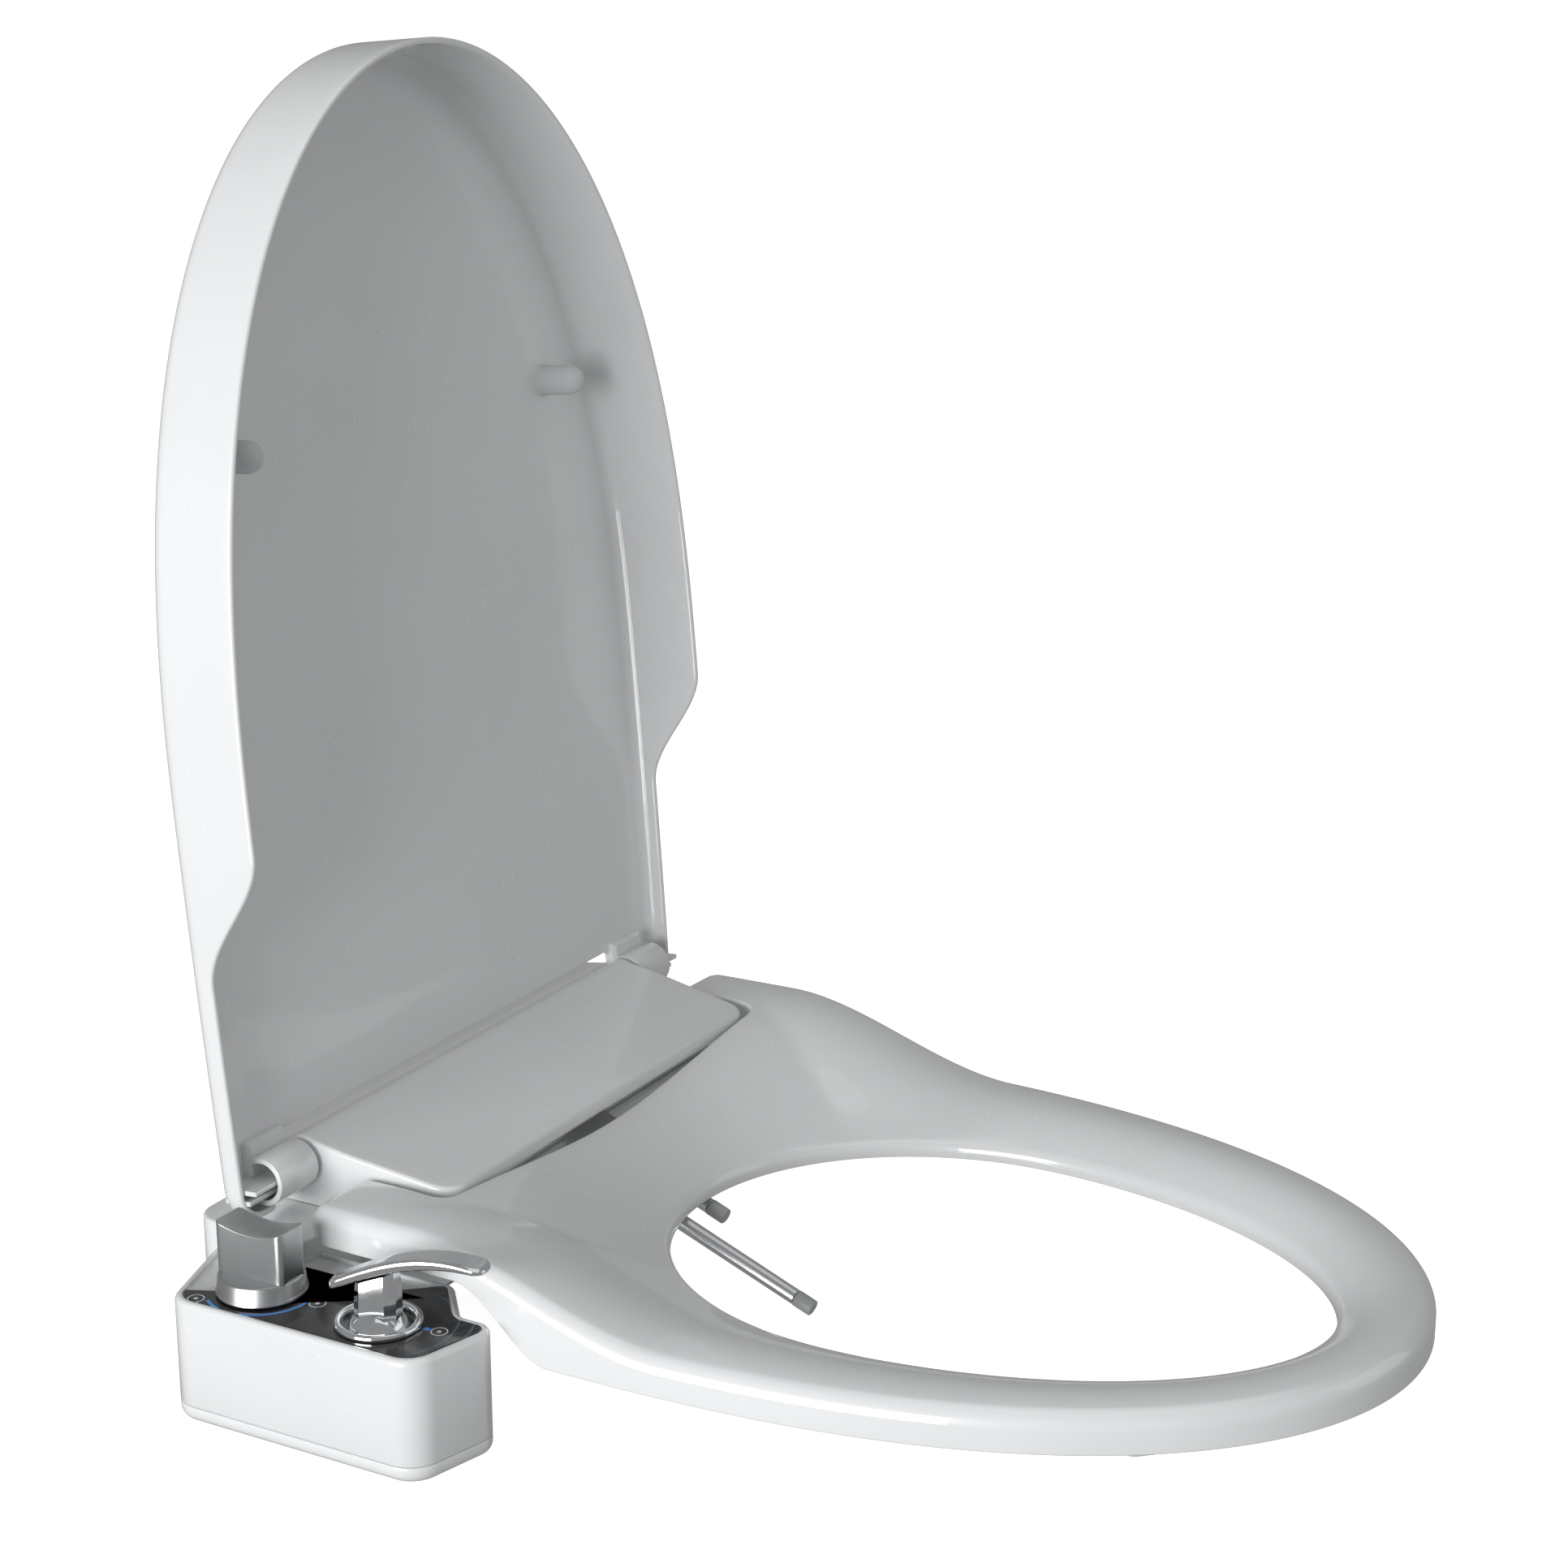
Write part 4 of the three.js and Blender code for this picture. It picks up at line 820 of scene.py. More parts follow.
# ---------- seat ----------
@dataclass(frozen=True)
class Seat:
    """The seat ring: ears at the hinge, a saddle round the opening, a plate and four bumpers."""

    axis: float = 58.0
    clearance: float = 8.0
    rear: float = -30.5
    corner: float = 9.0
    ear_top: float = -2.0
    ring_top: float = -32.0
    hole_top: float = -42.0
    ear_bottom: float = -19.0
    ring_bottom: float = -49.5
    crown: float = 3.5
    edge: float = 7.0
    ear_round: float = 8.3
    foot_round: float = 1.2
    cut: tuple[float, float, float] = (142.0, -81.5, 9.0)
    hole: tuple[float, float, float, float] = (-448.0, -131.0, -262.0, 117.5)
    centre: tuple[float, float] = (0.0, -290.0)

    def full_outline(self) -> np.ndarray:
        """The lid's outline, one clearance smaller, with a straight rear edge."""
        loop = inset(resample(Lid().outline(), 2.0), self.clearance) * (1, -1)
        half = loop[(loop[:, 0] > 0.3) & (loop[:, 1] < self.rear - self.corner - 1)]
        half = half[np.argsort(half[:, 1])]
        half = np.vstack([[0.0, self.clearance - Lid().length], half])
        c = (179.5 - self.corner, self.rear - self.corner)
        a = np.linspace(0, math.pi / 2, 9)
        turn = np.stack([c[0] + self.corner * np.cos(a), c[1] + self.corner * np.sin(a)], 1)
        half = np.vstack([half, turn])
        return np.vstack([half, half[::-1][:-1] * (-1, 1)])

    def outline(self) -> np.ndarray:
        """The full outline with the deck's space cut out between the ears."""
        half = self.full_outline()
        half = half[: (len(half) + 1) // 2]
        x, y, r = self.cut
        a = np.linspace(0, math.pi / 2, 8)
        ear = np.stack([x + 8 - 8 * np.sin(a), self.rear - 8 + 8 * np.cos(a)], 1)
        down = np.stack([np.full(20, x), np.linspace(self.rear - 8, y + r, 21)[1:]], 1)
        bend = np.stack([x - r + r * np.cos(a), y + r - r * np.sin(a)], 1)[1:]
        flat_part = np.stack([np.linspace(x - r, 0, 61)[1:], np.full(60, y)], 1)
        half = np.vstack([half, ear, down, bend, flat_part])
        return np.vstack([half, half[::-1][1:-1] * (-1, 1)])

    def opening(self, count: int = 420) -> np.ndarray:
        """An egg: a blunt superellipse in front, an ellipse behind; run clockwise."""
        front, rear, widest, half = self.hole
        a = np.linspace(0, 2 * np.pi, count, endpoint=False)
        c = np.cos(a)
        along = np.where(c > 0, (widest - front) * np.abs(c) ** 1.05, -(rear - widest) * np.abs(c))
        loop = resample(np.stack([half * np.sin(a), widest - along], 1), 2.2)
        return anticlockwise(loop)[::-1]

    def radial(self, x: np.ndarray, y: np.ndarray) -> np.ndarray:
        """How far a point is from the opening (0) to the full outline (1), along its ray."""
        cx, cy = self.centre
        angle = np.arctan2(y - cy, x - cx)
        reach = []
        for loop in (self.opening(), self.full_outline()):
            a = np.arctan2(loop[:, 1] - cy, loop[:, 0] - cx)
            order = np.argsort(a)
            r = np.hypot(loop[:, 0] - cx, loop[:, 1] - cy)[order]
            reach.append(np.interp(angle, a[order], r, period=2 * np.pi))
        near, far = reach
        return np.clip((np.hypot(x - cx, y - cy) - near) / (far - near), 0.0, 1.0)

    def top(self, x: np.ndarray, y: np.ndarray) -> np.ndarray:
        """hole + (side(y) - hole) (1 - (1 - r)^2.5) + crown sin(pi r), over the axis height."""
        r = self.radial(x, y)
        side = self.ear_top + (self.ring_top - self.ear_top) * smooth((-85 - y) / 130)
        rise = (side - self.hole_top) * (1 - (1 - r) ** 2.5)
        return self.axis + self.hole_top + rise + self.crown * np.sin(np.pi * r)

    def under(self, x: np.ndarray, y: np.ndarray) -> np.ndarray:
        """Level under the ring, and higher under the ears to clear the controls."""
        outwards = smooth((np.abs(x) - 110) / 40)
        drop = smooth((-83 - 29 * outwards - y) / 48)
        return self.axis + self.ear_bottom + (self.ring_bottom - self.ear_bottom) * drop

    def build(self) -> None:
        """Builds the ring, the plate under it and its bumpers."""
        loop = self.outline()
        x, y = loop.T
        ear = smooth((y - (self.rear - 10)) / 9) * (np.abs(x) > self.cut[0] - 1)
        inner = np.where((np.abs(x) < self.cut[0] + 0.5) & (y > self.cut[1] - 1), 1.0, 0.0)
        plain = self.edge + (1.6 - self.edge) * inner
        round_top = plain * (1 - ear) + self.ear_round * ear
        round_foot = self.foot_round * (1 - ear) + self.ear_round * ear
        t = np.linspace(0, math.pi / 2, 9)
        foot = [(round_foot + 1.6, 3.0), (round_foot + 1.6, 0.3), (round_foot + 1.3, 0.0)]
        foot += [(round_foot * (1 - math.sin(a)), round_foot * (1 - math.cos(a))) for a in t]
        head = [(round_top * (1 - math.cos(a)), -round_top * (1 - math.sin(a))) for a in t]
        hole = self.opening()
        lip = 3.6
        hole_foot = [(2.8, 3.0), (2.8, 0.3), (2.5, 0.0), (1.0, 0.0), (0.3, 0.3), (0.0, 1.0)]
        hole_head = [(lip * (1 - math.cos(a)), -lip * (1 - math.sin(a))) for a in t]
        skin = Skin()
        rims = [Rim(loop, foot, head), Rim(hole, hole_foot, hole_head)]
        moulding(skin, rims, self.under, self.top, 4.0)
        skin.make("seat_ring", Body.SEAT, Slot.WHITE, ["seat_shell"])
        plate = Skin()
        gap = round_foot + 1.9
        below = [(gap + 0.6, 0.8), (gap + 0.2, 0.9), (gap, 1.2)]
        above = [(gap, 2.6), (gap + 0.3, 2.75)]
        hole_below = [(3.7, 0.8), (3.3, 0.9), (3.1, 1.2)]
        rims = [Rim(loop, below, above), Rim(hole, hole_below, [(3.1, 2.6), (3.4, 2.75)])]
        moulding(plate, rims, self.under, self.under, 7.0)
        plate.make("seat_plate", Body.SEAT, Slot.WHITE, ["seat_base_plate"])
        for row, turn in (("rear", 6.0), ("front", 42.0)):
            for side, word in ((-1, "left"), (1, "right")):
                name = f"seat_bumper_{row}_{word}"
                at, (low, high) = centre_mm(name), box_mm(name)
                stop = Skin(Matrix.Translation((at[0], at[1], 0)) @
                            Matrix.Rotation(-math.radians(side * turn), 4, "Z"))
                rows = [(2, low[2]), (0.8, low[2] + 0.3), (0.2, low[2] + 1.0), (0, low[2] + 2.0)]
                rows += [(0, high[2] - 0.6), (0.6, high[2])]
                stop.slab(rectangle(-7, -14, 7, 14, 5, 8), rows)
                stop.make(f"seat_foot_{row}_{word}", Body.SEAT, Slot.RUBBER, [name])


# ---------- base ----------
@dataclass(frozen=True)
class Base:
    """The rear deck over its housing, bolted to the bowl through a sliding plate."""

    axis: float = 58.0
    half_width: float = 140.0
    half_lip: float = 135.0
    lip_y: float = -80.0
    rear_y: float = 40.0
    boss_r: float = 11.5
    boss_from: float = 0.47
    bottom: float = -22.0
    edge: float = 1.9

    def deck_top(self, x: np.ndarray, y: np.ndarray) -> np.ndarray:
        """A straight slope from the lip to a round boss about the axis, then down to the rear."""
        a = np.linspace(math.pi / 2 + self.boss_from, math.pi / 4, 30)
        front = [self.lip_y - 5, self.lip_y, self.lip_y + 3.5]
        ys = [*front, *(self.boss_r * np.cos(a)), 34.0, 40.0, 50.0]
        zs = [-1.2, -1.1, -1.0, *(self.boss_r * np.sin(a)), 4.0, -1.0, -1.0]
        return self.axis + np.interp(y, ys, zs)

    def deck_under(self, x: np.ndarray, y: np.ndarray) -> np.ndarray:
        """The lip's hollow underside, then the level foot of the walls."""
        lip = self.lip_y
        ys = [lip - 5, lip, lip + 1.5, lip + 9, lip + 16, lip + 16.02, 90.0]
        zs = [-7.3, -7.5, -9.0, -10.5, -15.0, self.bottom, self.bottom]
        return self.axis + np.interp(y, ys, zs)

    def build(self) -> None:
        """Builds the deck, the housing, the plates, bolts, inlets and the release button."""
        plan = arcs([
            (-self.half_lip, self.lip_y, 12), (self.half_lip, self.lip_y, 12),
            (self.half_width, -24), (self.half_width, self.rear_y, 6),
            (-self.half_width, self.rear_y, 6), (-self.half_width, -24),
        ], 14)
        plan = resample(anticlockwise(plan), 2.0)
        e = self.edge
        t = np.linspace(0, math.pi / 2, 8)
        foot = [(16.5, 0.0), (9.0, 0.0), (2.0, 0.0), (0.9, 0.0), (0.3, 0.25), (0.0, 0.9)]
        head = [(e * (1 - math.cos(a)), -e * (1 - math.sin(a))) for a in t]
        deck = Skin()
        moulding(deck, [Rim(plan, foot, head)], self.deck_under, self.deck_top, 3.0)
        deck.make("deck", Body.BASE, Slot.WHITE, ["base_cover"], 50.0)
        low, high = box_mm("base_housing")
        front = low[1]
        arm = front + 40
        inner = self.half_width - 8
        plan = anticlockwise(arcs([
            (low[0], arm, 8), (-inner, arm), (-inner, front, 12), (inner, front, 12), (inner, arm),
            (high[0], arm, 4), (high[0], high[1], 12), (low[0], high[1], 14),
        ], 10))
        housing = Skin()
        housing.slab(plan, [(2.0, low[2]), (0.4, low[2]), (0, low[2] + 0.5), (0, high[2] - 1.6),
                            (0.12, high[2] - 1.0), (0.5, high[2] - 0.45), (1.1, high[2] - 0.1),
                            (1.8, high[2])])
        housing.make("housing", Body.BASE, Slot.WHITE, ["base_housing"])
        low, high = box_mm("base_bottom_plate")
        tray = Skin()
        tray.slab(inset(plan, 1.0), [
            (0.6, low[2]), (0, low[2] + 0.6), (0, high[2] - 0.2), (0.2, high[2]),
        ])
        tray.make("bottom_tray", Body.BASE, Slot.GREY, ["base_bottom_plate"])
        self.mounting()
        self.inlets()
        self.button()

    def mounting(self) -> None:
        """Builds the sliding plate and the two bolts with their washers and nuts."""
        low, high = box_mm("mounting_plate")
        plate = Skin()
        plan = rectangle(low[0], low[1], high[0], high[1], 3)
        plate.slab(plan, [(0.5, low[2]), (0, low[2] + 0.5), (0, high[2] - 0.5), (0.5, high[2])])
        plate.make("slide_plate", Body.BASE, Slot.GREY, ["mounting_plate"])
        for word in ("left", "right"):
            at = centre_mm(f"mounting_bolt_{word}")
            low, high = box_mm(f"mounting_bolt_{word}")
            bolt = Skin(Matrix.Translation((at[0], at[1], 0)))
            self.thread(bolt, low[2], high[2] - 6.5, 5.0)
            head = [(0, -6), (9.4, -6), (10, -5.4), (10, -1.6), (9.2, -0.4), (8, 0), (0, 0)]
            bolt.lathe([(q, high[2] + z) for q, z in head], Matrix.Identity(4), 48)
            bolt.make(f"bolt_{word}", Body.BASE, Slot.GREY, [f"mounting_bolt_{word}"])
            low, high = box_mm(f"mounting_washer_{word}")
            washer = Skin(Matrix.Translation((at[0], at[1], 0)))
            washer.lathe([(5.3, low[2]), (8.6, low[2]), (9.2, low[2] + 0.5), (14.8, high[2] - 0.6),
                          (14.4, high[2]), (5.3, high[2]), (5.3, low[2])], Matrix.Identity(4), 56)
            washer.make(f"washer_{word}", Body.BASE, Slot.RUBBER, [f"mounting_washer_{word}"])
            low, high = box_mm(f"mounting_nut_{word}")
            nut = Skin(Matrix.Translation((at[0], at[1], 0)))
            six = arcs([(*p, 1.0) for p in circle(13.0, 6)], 4)
            hole = circle(5.3, len(six))
            rise = [(0.8, low[2]), (0, low[2] + 0.8), (0, high[2] - 0.8), (0.8, high[2])]
            rows = [np.column_stack([inset(six, d), np.full(len(six), z)]) for d, z in rise]
            bore = [np.column_stack([hole, np.full(len(six), z)]) for z in (high[2], low[2])]
            nut.grid(np.stack([*rows, *bore, rows[0]]))
            nut.make(f"nut_{word}", Body.BASE, Slot.GREY, [f"mounting_nut_{word}"])

    def thread(
        self, skin: Skin, low: float, high: float, radius: float, pitch: float = 2.0
    ) -> None:
        """A threaded shank: r = radius - depth |saw(z / pitch - a / 2 pi)|, faded at its ends."""
        count = 36
        z = np.arange(low, high, pitch / 6)
        a = np.arange(count) / count
        saw = np.abs((z[:, None] / pitch - a[None]) % 1.0 - 0.5) * 2
        fade = smooth((z - low) / 2.0)[:, None]
        r = radius - 0.9 * saw * fade - 0.9 * (1 - fade)
        rows = np.stack([r * np.cos(2 * np.pi * a), r * np.sin(2 * np.pi * a),
                         np.repeat(z[:, None], count, 1)], -1)
        skin.grid(rows)
        skin.polygon(rows[0], False)
        skin.polygon(rows[-1], True)

    def inlets(self) -> None:
        """Builds the two threaded water inlets behind the housing."""
        for word in ("cold", "warm"):
            name = f"water_inlet_{word}"
            at = centre_mm(name)
            low, high = box_mm(name)
            rear = box_mm("base_housing")[1][1]
            place = Matrix.Translation((at[0], 0, at[2])) @ Matrix.Rotation(-math.pi / 2, 4, "X")
            stub = Skin(place)
            count = 48
            y = np.arange(rear + 4, high[1] - 0.6, 0.3)
            a = np.arange(count) / count
            saw = np.abs((y[:, None] / 1.8 + a[None]) % 1.0 - 0.5) * 2
            fade = (smooth((y - rear - 4) / 1.5) * smooth((high[1] - 0.5 - y) / 1.5))[:, None]
            r = 10.0 - 0.8 * saw * fade - 0.5 * (1 - fade)
            rows = np.stack([r * np.cos(2 * np.pi * a), r * np.sin(2 * np.pi * a),
                             np.repeat(y[:, None], count, 1)], -1)
            ends = [(7.0, low[1]), (9.4, low[1]), (9.4, rear + 3)]
            caps = [(9.0, high[1]), (7.4, high[1]), (7.0, high[1] - 0.4), (7.0, low[1])]
            stub.grid(np.concatenate([turned_rows(ends, count), rows, turned_rows(caps, count)]))
            six = arcs([(*p, 1.0) for p in circle(14.0, 6)], 4)
            stub.slab(six, [(0.8, rear + 0.3), (0, rear + 0.8), (0, rear + 2.4), (0.8, rear + 3.0)])
            stub.make(f"inlet_{word}", Body.BASE, Slot.STEEL, [name])

    def button(self) -> None:
        """Builds the release button on the housing's right side."""
        low, high = box_mm("release_button")
        turn = Matrix(((0, 0, 1, 0), (1, 0, 0, 0), (0, 1, 0, 0), (0, 0, 0, 1)))
        plan = rectangle(low[1], low[2], high[1], high[2], 3)
        cap = Skin(turn)
        rows = [(0.4, -10), (0, -9.6), (0, -1.4), (0.2, -0.7), (0.7, -0.2), (1.5, 0)]
        dish = [(3.0, -0.05), (4.2, -0.5), (5.0, -0.6)]
        cap.slab(plan, [(d, high[0] + x) for d, x in rows + dish])
        cap.make("release_cap", Body.BUTTON, Slot.GREY, ["release_button"])


# ---------- nozzles ----------
@dataclass(frozen=True)
class Nozzles:
    """Two sliding spray nozzles in one guide, on a slope down to the front."""

    slope: float = 21.6
    radius: float = 4.0
    length: float = 122.0
    tip: float = 10.0
    spread: float = 12.0
    guide: tuple[float, float, float] = (39.0, 17.0, 70.0)

    def place(self, x: float, y: float, z: float) -> Matrix:
        """A place at a nozzle's front end, with Z back up the slope."""
        return Matrix.Translation((x, y, z)) @ Matrix.Rotation(
            -math.radians(90 - self.slope), 4, "X")

    def front(self, tip_node: str, x: float) -> Matrix:
        """Where a tip's flat front end is, from its box."""
        low, high = box_mm(tip_node)
        a = math.radians(self.slope)
        y = low[1] + self.radius * math.sin(a)
        z = low[2] + self.radius * math.cos(a)
        return self.place(x, y, z)

    def build(self) -> None:
        """Builds both nozzles and their guide."""
        r, n = self.radius, 48
        for word, body in (("rear", Body.REAR_NOZZLE), ("front", Body.FRONT_NOZZLE)):
            x = centre_mm(f"{word}_nozzle_tip")[0]
            at = self.front(f"{word}_nozzle_tip", x)
            head = Skin(at)
            nose = [(0, 0.1), (r - 0.9, 0), (r - 0.25, 0.25), (r, 0.9)]
            tail = [(r, self.tip - 0.3), (r - 0.25, self.tip), (0, self.tip)]
            head.grid(self.flattened(nose + tail, n))
            jet = [(1.15, 0), (1.15, 0.06), (0.95, 0.14), (0.7, 0.1), (0.6, -0.5), (0, -0.5)]
            for along in (3.6, 6.6):
                seat = Matrix.Translation((0, r - 0.62, along))
                head.lathe(jet, seat @ Matrix.Rotation(-math.pi / 2, 4, "X"), 20)
            head.make(f"{word}_spray_tip", body, Slot.GREY, [f"{word}_nozzle_tip"])
            rod = Skin(at)
            start = self.tip + 0.3
            rows = [(0, start), (r - 0.5, start), (r - 0.2, start + 0.3), (r - 0.2, start + 40)]
            rows += [(r - 0.2, start + 80), (r - 0.2, self.length - 0.3), (r - 0.5, self.length)]
            rows.append((0, self.length))
            rod.grid(self.flattened(rows, n))
            rod.make(f"{word}_rod", body, Slot.STEEL, [f"{word}_nozzle_tube"])
        low, high = box_mm("nozzle_guide")
        width, height, length = self.guide
        a = math.radians(self.slope)
        y = low[1] + (height / 2) * math.sin(a)
        z = low[2] + (height / 2) * math.cos(a)
        bar = Skin(self.place(0, y, z))
        w, h = width / 2, height / 2
        plan = rectangle(-w, -h, w, h, 3, 8)
        rows = np.stack([np.column_stack([inset(plan, d), np.full(len(plan), v)])
                         for d, v in ((0, length), (0, 0.6), (0.6, 0.0))][::-1])
        bar.grid(rows)
        bar.polygon(rows[-1], True)
        holes = [
            np.column_stack([circle(self.radius + 0.4, 40, side * self.spread), np.zeros(40)])
            for side in (-1, 1)
        ]
        bar.patch([rows[0], *holes], flat(0.0), 3.0, False)
        for ring in holes:
            deep = ring + (0, 0, 20)
            bar.grid(np.stack([deep, ring]))
            bar.polygon(deep, False)
        bar.make("guide_block", Body.BASE, Slot.GREY, ["nozzle_guide"])

    def flattened(self, profile: Sequence[tuple[float, float]], count: int) -> np.ndarray:
        """Turned rows whose upper side is cut flat, 0.6 below the full round."""
        rows = turned_rows(profile, count)
        rows[:, :, 1] = np.minimum(rows[:, :, 1], self.radius - 0.6)
        return rows


# ---------- control box ----------
@dataclass(frozen=True)
class ControlBox:
    """The box beside the bowl: a shell with a recessed glass panel over a rounded pan."""

    wall: float = 2.5
    foot: float = 6.5
    recess: float = 3.5
    glass: float = 1.4

    def plan(self) -> np.ndarray:
        """The box's outline, with a step in its inner side under the seat."""
        low, high = box_mm("control_box_shell")
        inner = -184.0
        return anticlockwise(arcs([
            (low[0], 4, 14), (low[0], -127, 16), (inner, low[1], 9), (inner, -118, 8),
            (high[0], -98, 8), (high[0], high[1], 9),
        ], 14))

    def build(self) -> None:
        """Builds the shell, the pan and the panel."""
        low, high = box_mm("control_box_shell")
        plan = self.plan()
        floor = high[2] - self.glass - 0.3
        shell = Skin()
        shell.slab(plan, [
            (3, low[2]), (0.7, low[2]), (0.2, low[2] + 0.2), (0, low[2] + 0.6), (0, high[2] - 2.6),
            (0.12, high[2] - 1.9), (0.45, high[2] - 1.2),
            (1.0, high[2] - 0.55), (1.6, high[2] - 0.15),
            (2.2, high[2]), (self.recess - 0.25, high[2]), (self.recess - 0.05, high[2] - 0.1),
            (self.recess, high[2] - 0.3), (self.recess, floor),
        ])
        shell.make("side_box", Body.BASE, Slot.WHITE, ["control_box_shell"])
        low, seam = box_mm("control_box_pan")
        r = self.foot
        turn = np.linspace(0, math.pi / 2, 9)
        rows = [(r * (1 - math.sin(a)), low[2] + r * (1 - math.cos(a))) for a in turn]
        pan = Skin()
        lip = [(0, seam[2] - 0.6), (0.2, seam[2] - 0.2), (0.7, seam[2]), (3, seam[2])]
        pan.slab(plan, rows + lip)
        pan.make("side_pan", Body.BASE, Slot.WHITE, ["control_box_pan"])
        self.panel(plan, high[2])

    def panel(self, plan: np.ndarray, top: float) -> None:
        """Builds the glass panel, cut back round the housing's arm."""
        house = box_mm("base_housing")[0]
        arm_x, arm_y = house[0] - 2, house[1] + 38
        face = inset(plan, self.recess + 0.3)
        out = face[~((face[:, 0] > arm_x) & (face[:, 1] > arm_y))]
        gap = np.linalg.norm(out - np.roll(out, 1, 0), axis=1)
        out = np.roll(out, -int(np.argmax(gap)), 0)
        first, last = out[0], out[-1]
        corner = [(first[0], arm_y), (arm_x, arm_y), (arm_x, last[1])]
        loop = anticlockwise(np.vstack([out, corner[::-1] if last[1] > first[1] else corner]))
        glass = Skin()
        glass.slab(loop, [(0, top - self.glass), (0, top - 0.25), (0.25, top)])
        glass.make("glass_panel", Body.BASE, Slot.GLASS, ["control_panel"])


# ---------- knob and lever ----------
@dataclass(frozen=True)
class Knob:
    """The temperature knob: a low disc with a block grip scooped on top."""

    radius: float = 20.5
    disc: float = 9.0
    grip: tuple[float, float] = (18.0, 36.0)
    height: float = 34.0
    scoop: tuple[float, float] = (52.0, 3.5)

    def build(self) -> None:
        """Builds the knob as one piece."""
        low, high = box_mm("temperature_knob")
        at = centre_mm("temperature_knob")
        base = high[2] - self.height
        r = self.radius
        skin = Skin(Matrix.Translation((at[0], at[1], base)))
        skin.lathe([(0, 1), (r - 0.3, 1), (r, 1.3), (r, 2.2), (r - 0.35, 2.7), (r - 0.5, 3.0),
                    (r - 1.2, self.disc), (r - 1.5, self.disc + 0.65), (r - 2.1, self.disc + 0.95),
                    (r - 2.6, self.disc + 1), (0, self.disc + 1)], Matrix.Identity(4), 96)
        w, l = self.grip[0] / 2, self.grip[1] / 2
        plan = resample(rectangle(-w, -l, w, l, 2.5), 0.8)
        big, dip = self.scoop

        def top(x: np.ndarray, y: np.ndarray) -> np.ndarray:
            """centre - sqrt(R^2 - y^2): a hollow across the grip's length."""
            return self.height + big - dip - np.sqrt(big * big - y * y)

        e = 0.9
        t = np.linspace(0, math.pi / 2, 6)
        head = [(e * (1 - math.cos(a)), -e * (1 - math.sin(a))) for a in t]
        moulding(skin, [Rim(plan, [(0.0, 0.0)], head)], flat(self.disc), top, 1.4)
        skin.make("knob_body", Body.KNOB, Slot.SATIN, ["temperature_knob"])


@dataclass(frozen=True)
class Lever:
    """The water lever: a dome in a bezel, a faceted stem and an arched blade."""

    bezel: float = 19.5
    dome: float = 14.5
    stem: tuple[float, float] = (15.0, 20.0)
    back: float = 22.0
    reach: float = 52.0
    width: float = 15.0
    thickness: tuple[float, float, float] = (5.0, 5.5, 3.0)
    height: float = 17.0
    rise: float = 14.0
    heel: float = 3.0
    arch: float = 1.9
    turn: float = 12.0

    def under(self, y: np.ndarray) -> np.ndarray:
        """The underside: low + (rise + heel) sin(arch t) / sin(arch), t from heel to tip."""
        t = (self.back - y) / (self.back + self.reach)
        lift = (self.rise + self.heel) / math.sin(self.arch)
        return self.height - self.heel + lift * np.sin(t * self.arch)

    def over(self, y: np.ndarray) -> np.ndarray:
        """The blade's top: the underside and heel + (finger - heel) t + bulge sin(pi t)."""
        t = (self.back - y) / (self.back + self.reach)
        heel, middle, finger = self.thickness
        bulge = middle - (heel + finger) / 2
        return self.under(y) + heel + (finger - heel) * t + bulge * np.sin(np.pi * t)

    def build(self) -> None:
        """Builds the bezel, dome, stem and blade."""
        at = centre_mm("lever_bezel")
        top = box_mm("control_box_shell")[1][2]
        here = Matrix.Translation((at[0], at[1], top))
        b = self.bezel
        ring = Skin(here)
        ring.lathe([(b - 3.5, 0.3), (b - 0.1, 0.3), (b, 0.5), (b, 1.9), (b - 0.25, 2.5),
                    (b - 0.7, 3.0),
                    (b - 1.2, 3.2), (b - 2.2, 3.15), (b - 3.0, 2.8), (b - 3.4, 2.2), (b - 3.5, 1.8),
                    (b - 3.5, 0.3)], Matrix.Identity(4), 96)
        ring.make("bezel_ring", Body.BASE, Slot.CHROME, ["lever_bezel"])
        a = np.linspace(math.asin(5 / self.dome), math.pi / 2, 24)
        dome = Skin(here)
        dome.lathe([(0, -1), *((self.dome * math.cos(t), self.dome * math.sin(t) - 6) for t in a)],
                   Matrix.Identity(4), 96)
        dome.make("ball_dome", Body.LEVER, Slot.CHROME, ["lever_dome"])
        turned = here @ Matrix.Rotation(math.radians(self.turn), 4, "Z")
        w, l = self.stem[0] / 2, self.stem[1] / 2
        plan = resample(rectangle(-w, -l, w, l, 4, 1), 0.7)
        stem = Skin(turned)
        foot = [(0.5, 0.0), (0.0, 0.7)]
        head = [(0.0, -15.0), (0.1, -9.0), (0.5, -4.0), (0.8, -1.2), (1.0, 0.0)]
        moulding(stem, [Rim(plan, foot, head)], flat(2.5), lambda x, y: self.under(y) - 0.3, 1.6)
        stem.make("stem_block", Body.LEVER, Slot.CHROME, ["lever_stem"], 20.0)
        blade = Skin(turned)
        half = self.width / 2
        plan = anticlockwise(arcs([(-half + 3, self.back, 3.5), (half - 3, self.back, 3.5),
                                   (half, -self.reach, 6), (-half, -self.reach, 6)], 10))
        plan = resample(plan, 0.9)
        foot = [(1.6, 0.0), (1.1, 0.05), (0.35, 0.5), (0.05, 0.9), (0.0, 1.1)]
        head = [(0.0, -1.3), (0.1, -1.0), (1.1, -0.25), (1.5, -0.05), (1.9, 0.0)]
        rim = Rim(plan, foot, head)
        moulding(blade, [rim], lambda x, y: self.under(y), lambda x, y: self.over(y), 1.6)
        blade.make("blade", Body.LEVER, Slot.CHROME, ["lever_blade"], 30.0)


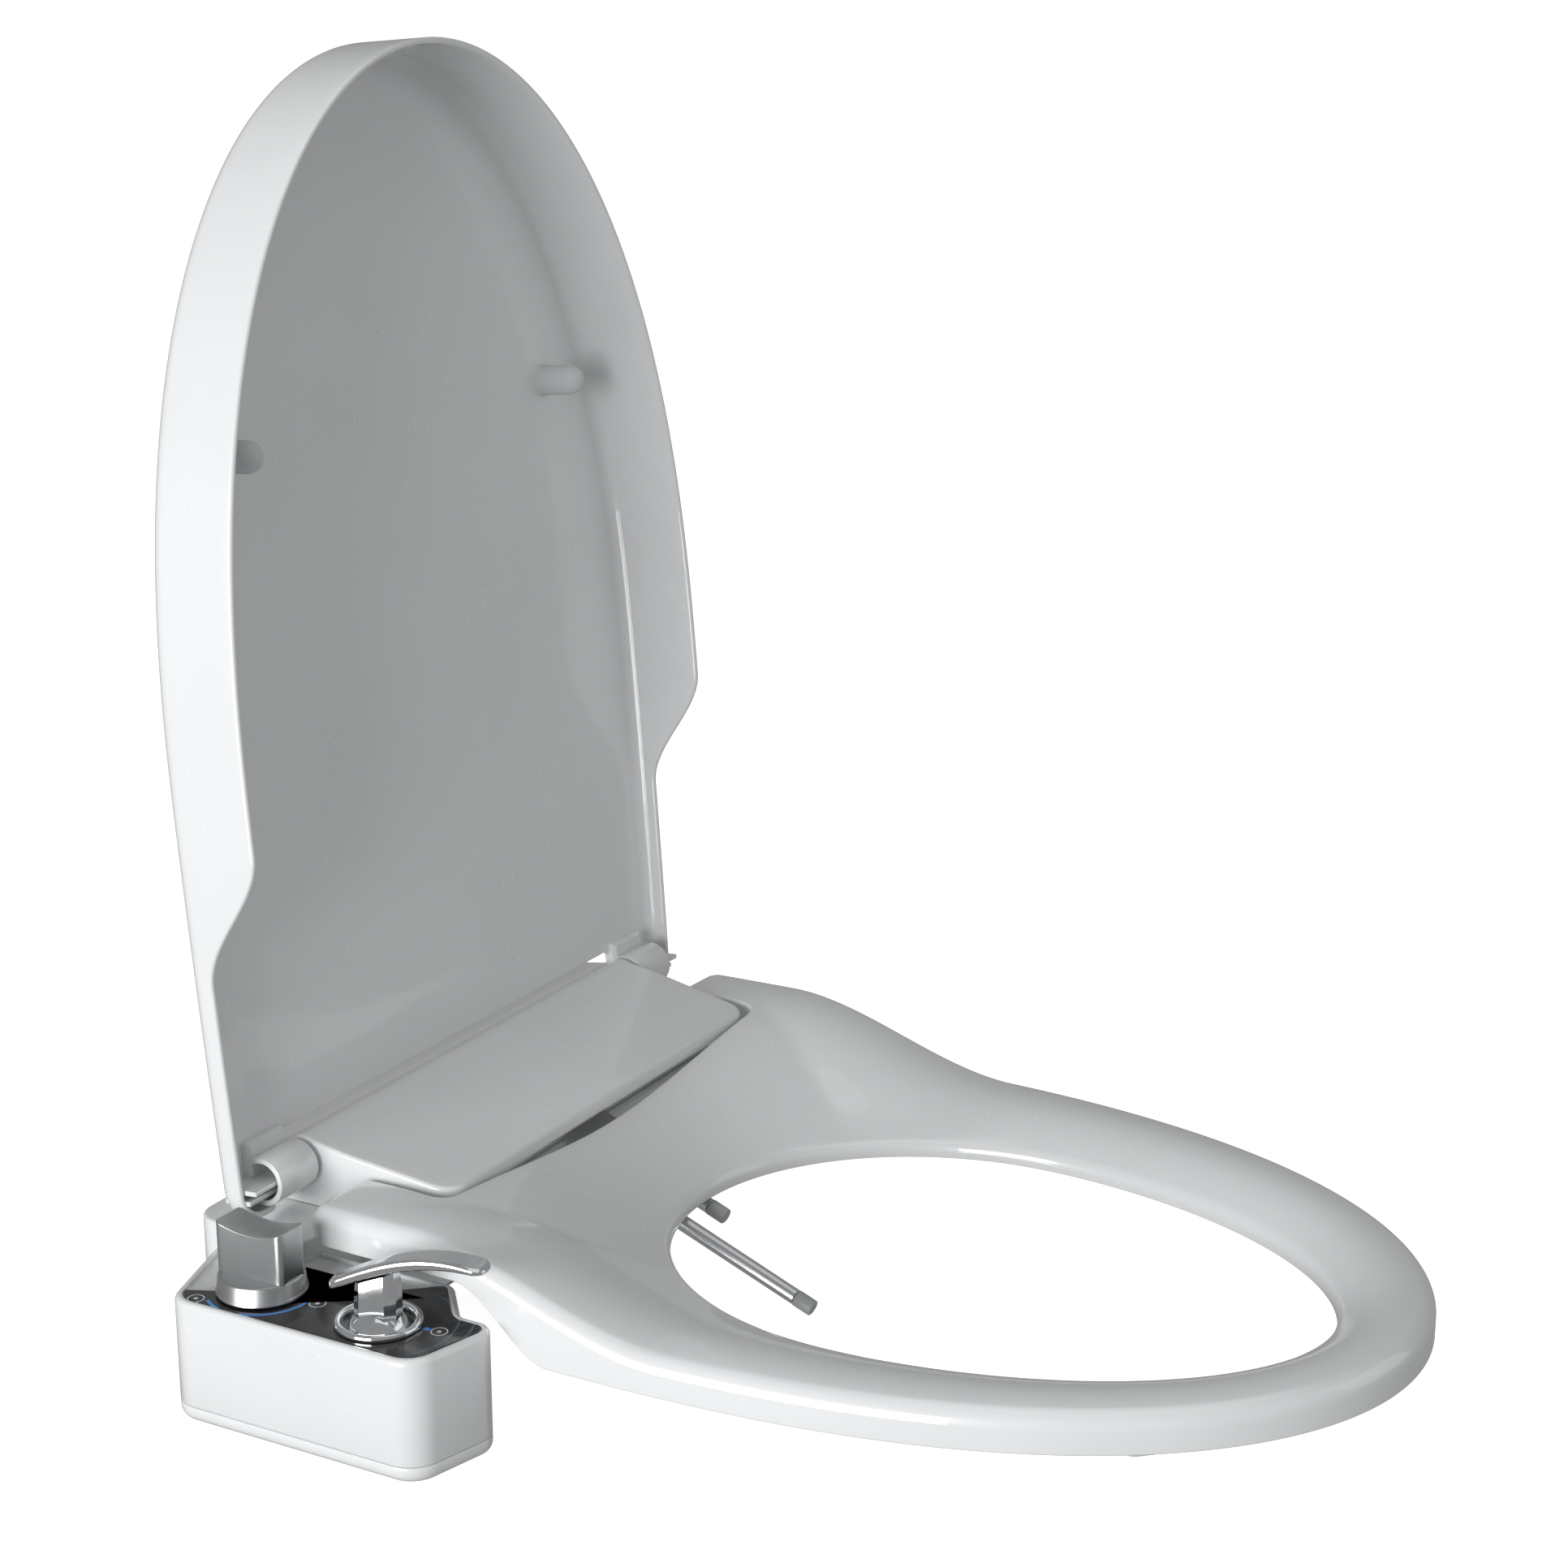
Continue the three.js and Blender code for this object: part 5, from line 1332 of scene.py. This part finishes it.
# ---------- the rest ----------
CARRIED = {
    Slot.STEEL: ["base_screw_", "pan_screw_", "lid_damper_", "seat_pin_"],
    Slot.BRASS: ["knob_spindle", "lever_spindle", "mixing_valve", "flow_valve", "valve_link_pipe"],
    Slot.TUBING: ["inlet_hose_", "nozzle_hose_"],
}


def dress_carried() -> None:
    """Gives the CAD nodes that stay their finishes."""
    for slot, starts in CARRIED.items():
        for name, node in frame["nodes"].items():
            if name.startswith(tuple(starts)):
                node.data.materials.clear()
                node.data.materials.append(FINISHES[slot].material())
                log.info("%s keeps its CAD mesh", name)


@dataclass(frozen=True)
class Studio:
    """A pale floor, soft lights and the camera."""

    azimuth: float = -61.06
    elevation: float = 16.14
    position: tuple[float, float, float] = (-1.149, -0.812, 0.609)
    lens: float = 68.5
    floor_gap: float = 0.001

    def floor(self) -> None:
        """Lays a wide pale floor just below the piece."""
        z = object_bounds()[0][2] - self.floor_gap
        mesh = bpy.data.meshes.new("floor")
        s = 30.0
        mesh.from_pydata([(-s, -s, z), (s, -s, z), (s, s, z), (-s, s, z)], [], [(0, 1, 2, 3)])
        floor = bpy.data.objects.new("floor", mesh)
        bpy.context.scene.collection.objects.link(floor)
        g = Graph("floor_finish")
        g.set(Base_Color=(0.9, 0.9, 0.9), Roughness=0.9, Emission_Color=(1.0, 1.0, 1.0))
        g.set(Emission_Strength=0.85, Specular_IOR_Level=0.0)
        mesh.materials.append(g.material)
        floor.visible_diffuse = False
        floor.visible_glossy = False
        floor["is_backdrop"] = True

    def light(
        self,
        name: str,
        place: Vector,
        target: Vector,
        size: float,
        power: float,
        colour: tuple[float, float, float],
    ) -> None:
        """Adds one square area light aimed at a point."""
        data = bpy.data.lights.new(name, "AREA")
        data.size = size
        data.energy = power
        data.color = colour
        lamp = bpy.data.objects.new(name, data)
        lamp.location = place
        lamp.rotation_euler = (target - place).to_track_quat("-Z", "Y").to_euler()
        bpy.context.scene.collection.objects.link(lamp)

    def build(self) -> None:
        """Builds floor, lights, world and camera."""
        self.floor()
        middle = Vector((0, -0.15, 0.15))
        self.light("key_side", Vector((-3.0, 0.1, 0.25)), middle, 2.0, 125.0, (0.99, 0.995, 1.0))
        self.light("top_soft", Vector((0.2, -0.6, 2.8)), middle, 2.2, 8.0, (1.0, 1.0, 1.0))
        self.light("far_soft", Vector((1.2, -2.4, 0.9)), middle, 1.6, 5.0, (1.0, 1.0, 1.0))
        world = bpy.data.worlds.new("studio")
        world.use_nodes = True
        back = next(n for n in world.node_tree.nodes if n.type == "BACKGROUND")
        back.inputs["Color"].default_value = (0.98, 0.99, 1.0, 1.0)
        back.inputs["Strength"].default_value = 0.30
        bpy.context.scene.world = world
        scene = bpy.context.scene
        scene.view_settings.view_transform = "Standard"
        a, e = math.radians(self.azimuth), math.radians(self.elevation)
        behind = Vector((math.sin(a) * math.cos(e), -math.cos(a) * math.cos(e), math.sin(e)))
        data = bpy.data.cameras.new("camera")
        data.sensor_width = 36.0
        data.lens = self.lens
        camera = bpy.data.objects.new("camera", data)
        camera.location = self.position
        camera.rotation_euler = (-behind).to_track_quat("-Z", "Y").to_euler()
        scene.collection.objects.link(camera)
        scene.camera = camera


def main() -> None:
    """Builds every piece in order."""
    logging.basicConfig(level=logging.INFO, format="%(name)s %(message)s")
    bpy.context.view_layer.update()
    for part in (Lid(), Seat(), Base(), Nozzles(), ControlBox(), Knob(), Lever()):
        log.info("building %s", type(part).__name__)
        part.build()
    dress_carried()
    Studio().build()


if __name__ == "__main__":
    main()
